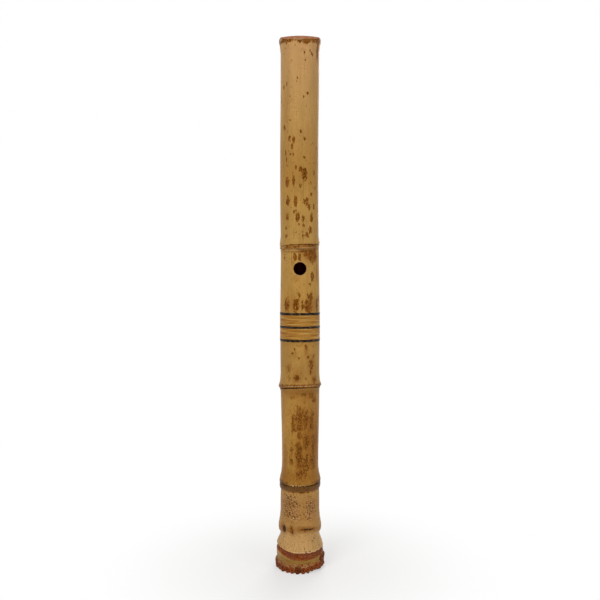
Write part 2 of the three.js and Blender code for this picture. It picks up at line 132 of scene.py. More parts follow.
# Sections of a root and of a scar, as radius and height from the cut face; a root's are shares of its radius
PEG = ((1.3, -5.5), (1.22, -3.5), (1.06, -1.6), (1.0, -0.9), (0.94, -0.35), (0.84, 0), (0.74, -0.12), (0.66, 0.06),
       (0.52, 0.12), (0.42, -0.12), (0.28, 0.02), (0.16, -0.3), (0.06, -0.42))
SCAR = ((2.7, -1.6), (2.85, -0.1), (2.65, 0.25), (2.3, 0.2), (2.05, 0.02), (1.7, 0.26), (1.35, 0.22), (1.05, 0.02),
        (0.7, 0.2), (0.35, 0.05), (0.1, -0.1))
# Holes of each half: height, radius, and 1 for a finger hole at the front or -1 for the thumb hole at the back
HOLES = {"lower": ((119.9, 5.7, 1), (174.4, 5.7, 1), (228.9, 5.7, 1)), "upper": ((283.4, 5.7, 1), (311.74, 6.5, -1))}

# Mouth end
BLOWING_EDGE_DEPTH = 3.0
BLOWING_CUT = math.radians(36)
CHIN_HEIGHT, CHIN_INSET, MOUTH_RADIUS = 6.2, 9.5, 21.5
CHIN_ANGLE = math.atan2(CHIN_HEIGHT, CHIN_INSET)
CHIN_BULGE = 7.0

# Brown mottling on the back: height, place across the back, length, width and strength
MOTTLING = (
    (531.6, -14.5, 1.6, 1.2, 0.9), (527.2, -16.9, 2.4, 1.1, 0.9), (526.8, 4.6, 2.8, 2.0, 1), (529, 10.4, 3, 1.5, 1),
    (526.8, 11.8, 2.8, 1.8, 1), (525.2, 12.9, 3.4, 2.2, 1), (518.9, 5.5, 2.2, 1.2, 0.9),
    (501.6, -2.4, 2.8, 1.6, 0.75), (498, -3, 2.6, 1.4, 0.65), (496.3, -13.7, 5, 1.8, 0.9),
    (493.9, -16.6, 5.2, 1.9, 0.95), (493, -9.1, 1.8, 1.4, 0.8), (486.4, 8.1, 3.2, 2.6, 1), (483.2, 3.9, 2, 1.6, 1),
    (484, -9.8, 1.6, 1.3, 0.7), (460.3, -9.8, 3.2, 2.4, 0.85), (448.4, 1.5, 3.8, 2.8, 0.95),
    (441.7, -10.2, 7, 3.2, 0.85), (440.6, -5.9, 8.5, 3.2, 1.0), (453, -15.5, 6, 5, 0.75), (449, -12, 3, 2, 0.7),
    (441.3, 5.4, 4.2, 3.1, 0.95), (438.1, 13.7, 2.8, 1.5, 0.85), (433.8, -7.5, 6, 3, 0.9), (427, -14.1, 7, 2.2, 0.75),
    (426.3, -9.1, 3.2, 2, 0.85), (425.4, -6.1, 4, 2, 0.9), (421.2, -13.2, 6, 2.4, 0.75), (422.9, 5, 3.6, 2.6, 0.95),
    (419.9, 7.8, 1.6, 1.3, 0.85), (418.5, 15, 2.6, 1.5, 0.8), (414.9, -12.7, 5, 3, 0.65), (413.1, -3.6, 5, 2.2, 0.9),
    (411.3, 1.4, 6, 3.4, 1), (406.1, 5.6, 13, 6, 1), (408, 15.5, 6, 2.2, 0.95), (407.5, -6.5, 2, 1.2, 0.85),
    (399, -12.4, 11, 5.6, 0.85), (399.9, -5.9, 10, 3.2, 0.95), (394.2, 1.1, 5.5, 2.6, 0.85),
    (397.8, 11.9, 5.2, 1.8, 0.9), (393.4, 16.4, 4.2, 1.8, 0.85), (386.8, 12.3, 3.4, 2.8, 1),
    (379.8, -12, 10, 4.4, 0.9), (379.8, -3.9, 12, 4, 0.95), (378.9, 7.4, 8, 7, 0.9), (373.8, 10.1, 8, 2.6, 0.95),
    (374.1, 15, 7, 2.6, 0.95), (369.2, -4.8, 4, 4, 0.7), (363.8, -12.4, 8, 5, 0.7), (363.3, -1.9, 9, 5, 0.9),
    (362.2, 3.7, 8, 3, 0.75), (362.6, 12.3, 10, 4.5, 0.9), (355.8, -0.4, 3, 2, 0.9), (355.1, 4.2, 4, 3, 0.85),
    (352.9, -13.9, 6, 3, 0.65), (350.6, 11.1, 8, 5, 0.85), (345.9, 7.8, 6, 5, 0.85), (345.4, 3.2, 10, 1.4, 0.85),
    (348.1, -3.7, 1.8, 1.3, 0.9), (344.3, -14.3, 6, 4, 0.6), (323.6, -5.1, 9, 4.4, 1), (323.2, -0.2, 10, 3.6, 1),
    (326.4, 6.5, 5, 8, 0.85), (324.6, 13.5, 14, 13, 1.1), (303.8, 12.7, 10, 5.5, 0.9), (304.5, -4.4, 2.4, 2.2, 0.7),
    (295.9, 10, 5, 3, 0.65), (285, -1, 5.4, 3.8, 0.85), (283.6, 10.4, 11, 7.5, 0.8), (324, -16, 8, 3, 0.55),
    (275, -13.2, 15, 6.5, 0.85), (275, -4, 16, 7, 0.9), (274, 8.7, 16, 9.5, 0.95), (275, 17.3, 15, 3.6, 0.95),
    (275, 2.4, 14, 2.4, 0.65), (529.5, 17.8, 17, 3.4, 1.05), (540, -16.5, 7, 6, 0.9), (230.6, -5.4, 3.2, 2, 0.95),
    (226.1, -7.5, 3, 3, 0.5), (221.6, -1, 2.8, 2.2, 0.9), (225.2, 5.8, 4, 2, 0.95), (222.6, 8, 3.6, 2, 0.95),
    (223, 13.7, 4, 3.6, 0.8), (233.1, 13.7, 2.2, 1.3, 0.9), (233, 6.1, 7, 3.5, 0.7), (214.6, 11.5, 12, 5.5, 0.85),
    (207.1, 11, 6, 3, 0.7), (210.4, -11.5, 5, 4, 0.5), (201, -3, 7, 6.5, 0.8), (200.1, 6.1, 4, 2.4, 0.8),
    (198.8, 14.2, 7, 6, 0.85), (200.7, -10.5, 6, 6, 0.45), (184.5, 4, 4, 9, 0.6), (183, 11.5, 6, 9, 0.75),
    (181, -7, 5, 7, 0.5), (178.5, 15, 8, 6, 0.75), (159, -6.8, 13, 5, 0.75), (162, 12.5, 12, 5, 0.85),
    (166, 2, 10, 14, 0.6), (157.6, -1, 29, 9, 0.9), (151.7, -7.4, 15, 6, 0.8), (153.9, 12.4, 17, 6.5, 0.95),
    (158.7, 5.7, 24, 8, 0.85), (142.6, -0.8, 9, 6.5, 0.95), (136.1, 6.8, 17, 9, 0.85), (133.4, 14.3, 28, 7, 0.8),
    (129.7, -1.4, 14, 7.5, 1.1), (118.9, -1.4, 26, 7.5, 1.1), (120, 7.5, 9, 2.4, 1.1), (128, -9.2, 13, 5, 0.65),
    (116.2, -10, 15, 5.5, 0.65), (111.9, 5.7, 17, 9, 0.8), (114.6, 13.8, 21, 8, 0.8), (102.8, 0.3, 12, 11, 0.7),
    (101.1, 5.1, 8, 5, 0.85), (45.4, -7.6, 7, 3.2, 1.1), (45, -16, 9, 6, 0.6), (45.6, 7, 3, 15, 0.7),
)
# Smooth toasted shading on the back, in the same words
TOASTING = (
    (541.4, 0, 6, 60, 0.75), (529, 18.3, 18, 5, 1), (541, -15, 8, 9, 0.5), (470, -14, 60, 8, 0.3),
    (422, 0, 50, 60, 0.2), (335, 8, 4, 20, 0.5), (326, 11, 15, 20, 0.75), (308, 17.6, 18, 3.4, 0.7),
    (316, -6.5, 10, 4, 0.4), (302, -4, 5, 8, 0.35), (275, 12, 16, 14, 0.6), (275, -9, 16, 12, 0.45),
    (187, 0, 9, 60, 0.4), (185, -3, 9, 26, 0.6), (184.5, 10, 11, 16, 0.8), (180, 8, 16, 22, 0.45),
    (152, 5, 40, 18, 0.6), (134, 10.5, 74, 20, 0.9), (136, 17, 66, 10, 0.95), (120, -0.5, 46, 11, 0.85),
    (112, -17, 44, 9, 0.7), (99, 0, 14, 60, 0.7), (102, -1, 16, 12, 0.6), (205, -2, 14, 14, 0.4),
    (210, 12, 26, 10, 0.45), (236, 0, 5, 60, 0.3), (229, 6.5, 14, 5, 0.6), (214.6, 11.5, 18, 9, 0.65),
    (201.5, -3, 12, 10, 0.65), (199, 14, 10, 9, 0.65), (211, -11.5, 10, 7, 0.65), (222, 8, 7, 5, 0.5),
    (225, -6, 8, 6, 0.4), (66, 0, 30, 60, 0.3), (70, -12, 24, 14, 0.4), (60, 10, 14, 20, 0.3), (45, -16, 12, 8, 0.9),
    (45, -7.5, 10, 6, 0.9), (46, 7, 5, 16, 0.9),
)
# Spots of soot and areas of pits: height, turn to the right from the back, length, width and strength. The two spots
# low on the scar band are painted shade in the hollows of its lip
SOOT_AND_SHADE_SPOTS = (
    (44.8, -0.8, 8, 4.2, 0.9), (42.4, -0.37, 3, 2.0, 0.6), (22.7, 0.26, 1.7, 1.5, 0.95), (22.6, 0.45, 1.5, 1.4, 0.9),
)
PITS = (
    (69, -0.58, 23, 18, 1), (69.5, 0.56, 17, 11, 0.95), (61, -0.4, 14, 16, 0.6), (61, 0.5, 12, 14, 0.5),
    (34, 0.7, 10, 9, 0.25), (62, 2.4, 22, 22, 0.6), (66, -2.3, 18, 16, 0.6),
)
# Main colours of the skin from the root end to the mouth, as shares of the flute's length
SKIN_COLOURS = (
    (0.0, "9C6C3C"), (0.024, "9A7638"), (0.04, "BC9662"), (0.07, "BA935E"), (0.085, "AE844C"), (0.13, "AA814C"),
    (0.15, "AE854C"), (0.17, "A67B39"), (0.25, "A87D3A"), (0.34, "A57B3D"), (0.36, "A67E42"), (0.52, "AA8141"),
    (0.62, "AC8648"), (0.75, "A47C3E"), (0.86, "AE8850"), (1.0, "B98F5E"),
)
# Browns inside the mottling, and the rings of a cut root from its core outwards
MOTTLE_COLOURS = ((0.34, "2E1402"), (0.44, "502804"), (0.53, "6E3C08"), (0.61, "844C10"), (0.7, "9E6824"))
RING_COLOURS = ((0.08, "200803"), (0.2, "6A2A10"), (0.36, "A25426"), (0.5, "52200C"), (0.64, "964A20"),
                (0.8, "70301A"), (0.9, "54220E"), (1.0, "884A22"))
# Fine cracks and lines: place across the back, and height from and to
CRACKS = ((3.2, 380, 400), (3.1, 337, 351), (-8.4, 317, 330), (-6.2, 343, 352))


class CulmLook(bpy.types.PropertyGroup):
    """Sizes and colours of the bamboo culm"""

    sides: IntProperty(name="Sides", description="Points round each ring of the culm", default=192, min=24)
    unevenness: FloatProperty(
        name="Unevenness", description="How far the skin strays from round", default=0.22 * MM, unit="LENGTH"
    )
    tint: FloatVectorProperty(
        name="Tint", description="Colour that tints the whole skin", subtype="COLOR", size=3, default=(1, 1, 1)
    )
    mottle: FloatVectorProperty(
        name="Mottling", description="Colour of the brown mottling", subtype="COLOR", size=3,
        default=(0.209, 0.078, 0.012),
    )


class RootLook(bpy.types.PropertyGroup):
    """Sizes of the trimmed roots"""

    hidden: IntProperty(name="Roots at the front", description="Roots that the back doesn't show", default=15, min=3)
    radius: FloatProperty(name="Root radius", description="Radius of one root", default=3.05 * MM, unit="LENGTH")
    scars: IntProperty(name="Scars", description="Round root scars in the band above", default=25, min=6)


class BindingLook(bpy.types.PropertyGroup):
    """Sizes of the rattan and cord round the middle joint"""

    pitch: FloatProperty(name="Pitch", description="Height between loops", default=1.24 * MM, unit="LENGTH")
    rattan_loops: IntProperty(name="Rattan loops", description="Loops of rattan on each half", default=9, min=1)
    rattan_width: FloatProperty(name="Rattan width", description="Width of a strand", default=1.21 * MM, unit="LENGTH")
    rattan_thickness: FloatProperty(
        name="Rattan thickness", description="Thickness of a strand", default=0.8 * MM, unit="LENGTH"
    )
    cord_width: FloatProperty(name="Cord width", description="Width of the cord", default=1.2 * MM, unit="LENGTH")


class StageLook(bpy.types.PropertyGroup):
    """Camera and light"""

    distance: FloatProperty(name="Camera distance", description="From the flute's axis", default=0.75, unit="LENGTH")
    eye_height: FloatProperty(name="Eye height", description="Height of the camera", default=0.31, unit="LENGTH")
    target: FloatProperty(name="Target height", description="Where it looks", default=0.2795, unit="LENGTH")
    lens: FloatProperty(name="Lens", description="Focal length in millimetres", default=43.6)


def linear(colour):
    """Linear colour with alpha, from sRGB hex digits"""
    channels = [int(colour[i : i + 2], 16) / 255 for i in (0, 2, 4)]
    return (*(c / 12.92 if c <= 0.04045 else ((c + 0.055) / 1.055) ** 2.4 for c in channels), 1.0)


def add(tree, kind, *values, output=0, stops=(), **settings):
    """Adds a node, sets it, and returns one of its outputs. A kind in capitals is an operation of a Math node. The
    values or links go to its inputs in turn, or to those that a dictionary names."""
    if kind.isupper():
        kind, settings["operation"] = "Math", kind
    names = (prefix + kind for prefix in ("GeometryNode", "ShaderNode", "FunctionNode", ""))
    node = tree.nodes.new(next(name for name in names if hasattr(bpy.types, name)))
    for name, value in settings.items():
        setattr(node, name, value)
    inputs = {}
    for place, value in enumerate(values):
        inputs.update(value if isinstance(value, dict) else {place: value})
    for key, value in inputs.items():
        if isinstance(value, bpy.types.NodeSocket):
            tree.links.new(value, node.inputs[key])
        else:
            node.inputs[key].default_value = value
    for i, (place, colour) in enumerate(stops):
        ramp = node.color_ramp.elements
        stop = ramp[i] if i < len(ramp) else ramp.new(place)
        stop.position, stop.color = place, linear(colour)
    return node.outputs[output] if len(node.outputs) else node


def per(*sizes):
    """Texture scales that give features of these sizes in millimetres"""
    return tuple(1 / (size * MM) for size in sizes)


# Materials


def start_material(name):
    """A new material, and the function that adds a node to it"""
    material = bpy.data.materials.new(name)
    material.use_nodes = True
    material.node_tree.nodes.clear()
    return material, partial(add, material.node_tree)


def finish_material(material, put, colour, roughness, height, depth, ior, gloss=0.5, shine="FFFFFF"):
    """Ends a material in its shader: what varies is linked, and what doesn't is set on the shader's own sockets"""
    bump = put("Bump", {"Height": height, "Distance": depth * MM})
    given = {"Base Color": colour, "Roughness": roughness, "Normal": bump, "IOR": ior}
    shader = put("BsdfPrincipled", {**given, "Specular IOR Level": gloss, "Specular Tint": linear(shine)})
    put("OutputMaterial", shader)
    return material


def stretched_noise(put, place, sizes, detail=2.0, shift=0.0, roughness=0.55, twist=0.0):
    """Noise whose features have these sizes in millimetres along X, Y and Z, bent by the twist"""
    moved = put("Mapping", {"Vector": place, "Location": (shift,) * 3, "Scale": per(*sizes)})
    return put(
        "TexNoise", {"Vector": moved, "Scale": 1.0, "Detail": detail, "Roughness": roughness, "Distortion": twist}
    )


def mixed(put, share, base, over, strength=None):
    """A colour laid over the base by this share, times the strength"""
    if strength is not None:
        share = put("MULTIPLY", share, strength, use_clamp=True)
    over = linear(over) if isinstance(over, str) else over
    return put("Mix", {0: share, 6: base, 7: over}, output=2, data_type="RGBA")


def polished_madake(name):
    """Cured madake skin, oiled and polished by hand: a soft satin gloss over fine upright fibres, with ragged brown
    mottling, toasted shading by the nodes and near-black lines in their grooves."""
    look = bpy.context.scene.shakuhachi_culm
    material, put = start_material(name)
    place = put("TexCoord", output=3)
    grain, laid = partial(stretched_noise, put, place), partial(mixed, put)
    marks = {mark: put("Attribute", output=2, attribute_name=mark) for mark in MARKS}
    spot = put("SeparateXYZ", place).node.outputs
    share = put("DIVIDE", spot[2], FLUTE_TOP * MM)
    # Fibres, drawn as wide as they need to be to show, the streaks and clouds of the curing, and two sizes of specks
    fibre = grain((0.4, 0.4, 20), 3)
    streak = grain((3.2, 3.2, 50), 2, 3.1)
    cloud = grain((15, 15, 30), 2, 7.7)
    coarse = grain((2.0, 2.0, 3.6), 3, 1.3, 0.6, 1.1)
    speck = grain((1.0, 1.0, 1.6), 4, 4.6, 0.65)

    # The skin's own colour along the flute, its fibres, and the fine growth lines at the root end
    tone = put("MapRange", cloud, 0.3, 0.7, 0.9, 1.1)
    for pattern, low, high in ((streak, 0.95, 1.05), (fibre, 1.06, 0.92), (speck, 1.05, 0.95)):
        tone = put("MULTIPLY", tone, put("MapRange", pattern, 0.3, 0.7, low, high))
    base = put("HueSaturation", {"Color": put("ValToRGB", share, stops=SKIN_COLOURS), "Value": tone})
    base = put("Mix", {0: 1.0, 6: base, 7: (*look.tint, 1.0)}, output=2, data_type="RGBA", blend_type="MULTIPLY")
    lines = put("MapRange", grain((9, 9, 0.5), 2, 6.6), 0.46, 0.66)
    base = laid(put("MULTIPLY", lines, put("MapRange", share, 0.031, 0.026)), base, "6A4A20", 0.75)

    # Toasted shading, and the scuffs near the mouth
    toast = put("MULTIPLY", marks["toasting"], put("MapRange", cloud, 0.25, 0.7, 0.6, 1.15))
    toast = put("MULTIPLY", toast, put("MapRange", coarse, 0.3, 0.7, 0.7, 1.15))
    base = laid(toast, base, "7C4814", 0.95)
    upright = put("MapRange", grain((0.5, 0.5, 11), 2, 2.9), 0.57, 0.68)
    scuffs = put("MAXIMUM", upright, put("MapRange", grain((9, 9, 0.5), 2, 5.9), 0.58, 0.68))
    scuffs = put("MULTIPLY", scuffs, put("MapRange", cloud, 0.46, 0.58))
    base = laid(put("MULTIPLY", scuffs, put("MapRange", share, 0.8, 0.86)), base, "8A5A34", 0.6)

    # Mottling with ragged edges: sharp on the upper half, washed out at its edges and worn through lower down
    ragged = put("MULTIPLY_ADD", coarse, 3.6, -2.83)
    ragged = put("MULTIPLY_ADD", speck, 1.8, ragged)
    ragged = put("MULTIPLY_ADD", marks["mottling"], 1.2, ragged)
    clean = put("MapRange", marks["mottling"], 0.2, 0.6, -0.14, 0.03)
    ragged = put("ADD", ragged, put("MULTIPLY", put("MapRange", share, 0.78, 0.86), clean))
    blur = put("MapRange", share, 0.46, 0.3, 0.0, 0.17)
    foot = put("MULTIPLY_ADD", blur, -2.2, 0.15)
    base = laid(put("MapRange", ragged, foot, 0.65, interpolation_type="SMOOTHSTEP"), base, "8A5A20", 0.5)
    brown = put("ValToRGB", grain((1.3, 1.3, 1.9), 3, 8.2, 0.6), stops=MOTTLE_COLOURS)
    brown = laid(put("MapRange", cloud, 0.42, 0.62), brown, (*look.mottle, 1.0), 0.4)
    foot, full = put("SUBTRACT", 0.52, blur), put("ADD", blur, 0.68)
    inside = put("MapRange", ragged, foot, full, interpolation_type="SMOOTHSTEP")
    base = laid(inside, base, brown, 0.97)
    worn = put("MapRange", grain((0.75, 0.75, 0.95), 2, 9.7, 0.6), 0.55, 0.65)
    worn = put("MULTIPLY", worn, put("MULTIPLY", blur, 5.9))
    base = laid(put("MULTIPLY", worn, inside), base, "B08244", 0.55)
    for size, radius, rare, reach in ((3.2, 0.2, 0.61, 0.9), (1.8, 0.24, 0.8, 0.74)):
        dots = put("TexVoronoi", {"Vector": place, "Scale": per(size)[0]})
        chance = put("SeparateXYZ", dots.node.outputs[1])
        dots = put("MULTIPLY", put("MapRange", dots, radius, radius / 2), put("MapRange", chance, rare, rare + 0.1))
        dots = put("MULTIPLY", dots, put("MapRange", share, reach, reach - 0.15, 0.05, 0.85))
        base = laid(dots, base, "5C340C")

    # Bruised bands by the nodes, and the corky band of the root scars
    base = laid(put("MULTIPLY", marks["bruise"], put("MapRange", coarse, 0.3, 0.55, 1.1, 0.75)), base, "4A2A16", 0.97)
    corky = put("ValToRGB", speck, stops=((0.3, "3E1408"), (0.43, "6C2E14"), (0.55, "8A4A22"), (0.7, "B47844")))
    corky = laid(put("MapRange", cloud, 0.46, 0.6), corky, "683230", 0.5)
    base = laid(marks["cork"], base, corky)

    # Pits in a worn ground: pale lower rims that are painted highlights, the small pits over them, and larger ones
    base = laid(marks["pits"], base, "A0703A", 0.5)
    bent = put("VectorMath", coarse.node.outputs[1], (2.6 * MM,) * 3, place, operation="MULTIPLY_ADD")
    bent = put("VectorMath", speck.node.outputs[1], (1.1 * MM,) * 3, bent, operation="MULTIPLY_ADD")
    for size, shift, colour in ((1.25, 0.32, "E2C090"), (1.25, 0.0, "6E4018"), (1.8, 0.0, "54300F")):
        moved = put("VectorMath", bent, (0.0, 0.0, -shift * MM))
        moved = put("VectorMath", moved, (1.0, 1.0, 0.75), operation="MULTIPLY")
        pits = put("TexVoronoi", {"Vector": moved, "Scale": per(size)[0]})
        chance = put("MULTIPLY", put("SeparateXYZ", pits.node.outputs[1]), -1.0)
        here = put("MapRange", put("MULTIPLY_ADD", marks["pits"], 1.3, chance), 0.0, 0.15)
        pit = put("MULTIPLY", here, put("MapRange", pits, 0.5, 0.28))
        base = laid(pit, base, colour, 0.92)
    grains = put("MapRange", put("TexVoronoi", {"Vector": bent, "Scale": per(0.95)[0]}), 0.34, 0.16)
    grains = put("MULTIPLY", grains, put("MapRange", cloud, 0.4, 0.56))
    base = laid(put("MULTIPLY", grains, put("MapRange", share, 0.15, 0.13)), base, "84481E", 0.8)
    crumbs = put("MULTIPLY", put("MapRange", share, 0.0188, 0.0176), put("MapRange", coarse, 0.36, 0.5))
    base = laid(crumbs, base, "A67C4C", 0.85)

    # Painted highlights on the nodes' ridges, the scar band's lip, the chin bevel's edge and the rim; soot in the
    # grooves, with painted shade under the roots and in small hollows; and fine cracks
    base = laid(marks["wear"], base, "E0BC8C")
    black = put("ADD", put("MULTIPLY_ADD", speck, 0.7, -0.35), marks["soot"])
    base = laid(put("MapRange", black, 0.15, 0.7), base, "241610", 0.96)
    for across, low, high in CRACKS:
        x = put("MULTIPLY_ADD", coarse, 1.6 * MM, (AXIS_X + across - 0.8) * MM)
        line = put("MapRange", put("ABSOLUTE", put("SUBTRACT", x, spot[0])), 0.26 * MM, 0.12 * MM)
        line = put("MULTIPLY", line, put("MapRange", spot[2], low * MM, (low + 1) * MM))
        line = put("MULTIPLY", line, put("MapRange", spot[2], high * MM, (high - 1) * MM))
        base = laid(put("MULTIPLY", line, put("MapRange", spot[1], 0.0, -0.001)), base, "5A3812", 0.8)

    rough = put("MULTIPLY_ADD", marks["cork"], 0.25, put("MapRange", fibre, 0.25, 0.75, 0.36, 0.52))
    height = put("MULTIPLY_ADD", pit, -3.0, put("MULTIPLY", fibre, 0.5))
    height = put("MULTIPLY_ADD", put("MULTIPLY", speck, marks["cork"]), 5.0, height)
    return finish_material(material, put, base, rough, height, 0.07, ior=1.46, gloss=0.18, shine="FFBE74")


def cut_bamboo(name, *colours):
    """Bamboo wall cut across and polished by years of use: orange-brown, with the fibre bundles as dark specks."""
    material, put = start_material(name)
    place = put("TexCoord", output=3)
    # Real bundles are about half as large and wouldn't show
    bundles = put("TexVoronoi", {"Vector": place, "Scale": per(0.75)[0], "Randomness": 0.9})
    speck = put("MapRange", bundles, 0.2, 0.42, 1.0, 0.0)
    cloud = stretched_noise(put, place, (2.4,) * 3, 3, 2.2)
    base = mixed(put, speck, put("ValToRGB", cloud, stops=zip((0.3, 0.5, 0.72), colours)), "5A3014", 0.45)
    return finish_material(material, put, base, 0.5, speck, 0.04, ior=1.46, gloss=0.1, shine="FFBE74")


def trimmed_root(name):
    """Root cut through and oiled: growth rings round a dark core, with a corky orange-brown bark at the side, a
    painted highlight on its upper side and painted shade deep down its side.
    """
    material, put = start_material(name)
    ring, hood, tint = (put("Attribute", output=2, attribute_name=mark) for mark in ("ring", "hood", "tint"))
    crumble = stretched_noise(put, put("TexCoord", output=3), (0.9,) * 3, 4, 4.4, 0.65)
    wander = put("ADD", put("MULTIPLY_ADD", crumble, 0.2, -0.1), ring)
    base = put("ValToRGB", wander, stops=RING_COLOURS)
    base = mixed(put, put("MapRange", crumble, 0.5, 0.72), base, "4A200C", 0.75)
    base = mixed(put, put("MapRange", crumble, 0.42, 0.3), base, "B07C4C", 0.6)
    # Painted highlight on the upper side of each root
    hood = put("MULTIPLY", hood, put("MapRange", crumble, 0.36, 0.6, 0.55, 1.0))
    base = mixed(put, hood, base, "C0925E", 0.9)
    base = mixed(put, tint, base, "3A1808")
    # Painted shade that deepens down the side of each root
    base = mixed(put, put("MapRange", ring, 1.15, 1.6), base, "200C04", 0.95)
    return finish_material(material, put, base, 0.46, crumble, 0.3, ior=1.45, gloss=0.2, shine="FFBE74")


def split_rattan(name):
    """Strands split from rattan, with their bright skin outwards: straw-coloured, streaked along the strand."""
    material, put = start_material(name)
    along, across, loop = (put("Attribute", output=2, attribute_name=mark) for mark in ("along", "across", "loop"))
    lane = put("CombineXYZ", along, across, loop)
    streak, patch = (
        put("TexNoise", {"Vector": put("Mapping", {"Vector": lane, "Scale": scale}), "Scale": 1.0, "Detail": detail})
        for scale, detail in (((0.07, 3.6, 7.0), 3.0), ((0.045, 0.2, 5.3), 1.0))
    )
    base = put("ValToRGB", patch, stops=((0.3, "94601E"), (0.5, "B48038"), (0.7, "C89E56")))
    base = mixed(put, put("MapRange", streak, 0.5, 0.68), base, "74440E", 0.75)
    base = mixed(put, put("MapRange", streak, 0.42, 0.3), base, "DCB070", 0.6)
    # Painted shade at the edges of each strand, where neighbouring strands meet
    base = mixed(put, put("MapRange", put("MULTIPLY", across, across), 0.1, 0.22), base, "5A300A", 0.62)
    return finish_material(material, put, base, 0.42, streak, 0.06, ior=1.5, gloss=0.14, shine="FFD090")


def lacquered_cord(name):
    """Twisted cord soaked in black lacquer: nearly black, its twist shown by painted highlights and the gloss."""
    material, put = start_material(name)
    along, across = (put("Attribute", output=2, attribute_name=mark) for mark in ("along", "across"))
    twist = put("SINE", put("MULTIPLY", put("MULTIPLY_ADD", across, 1.3, along), FULL_TURN / 1.1))
    patch = stretched_noise(put, put("TexCoord", output=3), (3.5, 3.5, 1.2), 2, 6.1)
    base = put("ValToRGB", patch, stops=((0.35, "050403"), (0.52, "100E0A"), (0.68, "2C251C")))
    # Painted highlights along the twist
    glint = put("MULTIPLY", put("MapRange", twist, 0.3, 0.9), put("MapRange", patch, 0.5, 0.62))
    base = mixed(put, glint, base, "A08A74", 0.8)
    return finish_material(material, put, base, 0.38, twist, 0.08, ior=1.52, gloss=0.14, shine="E0B4A0")


def lacquer(name, low, high, roughness, gloss, shine):
    """Coats of natural lacquer, ground and wiped: deep and glossy, a little cloudy."""
    material, put = start_material(name)
    place = put("TexCoord", output=3)
    base = put("ValToRGB", stretched_noise(put, place, (5, 5, 12), 3, 1.9), stops=((0.35, low), (0.65, high)))
    wiped = stretched_noise(put, place, (1.5,) * 3, 2, 8.3)
    return finish_material(material, put, base, roughness, wiped, 0.03, ior=1.53, gloss=gloss, shine=shine)


def turned_bamboo(name):
    """The tenon's bamboo, turned smooth under thin lacquer: straight fibres under a warm brown film."""
    material, put = start_material(name)
    place = put("TexCoord", output=3)
    fibre = stretched_noise(put, place, (0.6, 0.6, 22), 3, 2.7)
    rings = stretched_noise(put, place, (30, 30, 0.6), 2, 5.8)
    base = put("ValToRGB", fibre, stops=((0.3, "8A5A2C"), (0.5, "B58248"), (0.7, "C9995E")))
    base = mixed(put, put("MapRange", rings, 0.5, 0.7, 0.0, 0.2), base, "7A4A22")
    return finish_material(material, put, base, 0.3, rings, 0.03, ior=1.5)


def polished_horn(name):
    """Water buffalo horn, polished: nearly black brown with paler smoky streaks down its length."""
    material, put = start_material(name)
    place = put("TexCoord", output=3)
    smoke = stretched_noise(put, place, (1.6, 3.0, 7.0), 4, 3.3)
    base = put("ValToRGB", smoke, stops=((0.35, "14100E"), (0.55, "2C221C"), (0.72, "6A5440")))
    fine = stretched_noise(put, place, (0.4, 0.4, 3.0), 2, 1.1)
    return finish_material(material, put, base, 0.26, fine, 0.015, ior=1.54, gloss=0.2, shine="C8A888")


# Each finish by its name, with what makes it and its colours or values
FINISHES = {
    "Polished madake skin": (polished_madake,),
    "Cut bamboo wall": (cut_bamboo, "7E4C26", "9A6738", "B08050"),
    "Handled chin bevel": (cut_bamboo, "8E4A24", "AC6A3A", "C08E5A"),
    # Bare bamboo at the holes' rims, paler than the cut wall as a painted highlight
    "Worn bamboo edge": (cut_bamboo, "A8784A", "C49A68", "D8B488"),
    "Trimmed bamboo root": (trimmed_root,),
    "Split rattan": (split_rattan,),
    "Black lacquered cord": (lacquered_cord,),
    "Red lacquer": (lacquer, "4E0C08", "6A140E", 0.45, 0.12, "D8806C"),
    "Black lacquer": (lacquer, "0E0C0B", "1E1A17", 0.3, 0.35, "FFF0E0"),
    "Turned bamboo under lacquer": (turned_bamboo,),
    "Polished dark horn": (polished_horn,),
}


def finish_of(name):
    """A finish by name, made the first time it is asked for"""
    maker, *words = FINISHES[name]
    return bpy.data.materials.get(name) or maker(name, *words)


# Shapes


def smoothstep(values):
    """An easy curve from 0 to 1"""
    share = np.clip(values, 0.0, 1.0)
    return share * share * (3 - 2 * share)


def eased(table, heights):
    """Values of a table at these heights, with an easy curve from point to point"""
    places = np.array([row[0] for row in table], float)
    values = np.array([row[1] for row in table], float)
    heights = np.clip(np.asarray(heights, float), places[0], places[-1])
    low = np.clip(np.searchsorted(places, heights, "right") - 1, 0, len(places) - 2)
    share = smoothstep((heights - places[low]) / (places[low + 1] - places[low]))
    return values[low] + share * (values[low + 1] - values[low])


def sweep(heights):
    """How far the flute's centre line has moved forward at these heights"""
    return ROOT_SWEEP * np.clip(1 - np.asarray(heights, float) / SWEEP_HEIGHT, 0, None) ** 2


def drift(heights):
    """How far the culm bends sideways between its ends"""
    heights = np.asarray(heights, float)
    return sum(far * np.sin(np.pi * np.clip((heights - low) / (high - low), 0, 1)) ** 2 for far, low, high in BENDS)


def stray(levels, turns):
    """How far the lines of the nodes and of the scar band rise or fall round the culm"""
    rows = np.array(STRAY, float).T
    left, right, front = (np.interp(levels, rows[0], row) for row in rows[1:])
    side, ahead = np.sin(turns), np.clip(-np.cos(turns), 0, None)
    return left * np.clip(-side, 0, None) ** 2 + right * np.clip(side, 0, None) ** 2 + front * ahead**2


def find_levels(heights, turns):
    """The lines at the back that these places lie on"""
    low, high = heights - 9, heights + 9
    for _ in range(30):
        middle = (low + high) / 2
        below = middle + stray(middle, turns) < heights
        low, high = np.where(below, middle, low), np.where(below, high, middle)
    return (low + high) / 2


def wandering(turns):
    """An uneven line round the culm, up to about 1 either way"""
    return np.sin(3 * turns + 1) * 0.5 + np.sin(7 * turns) * 0.3 + np.sin(17 * turns + 2) * 0.2


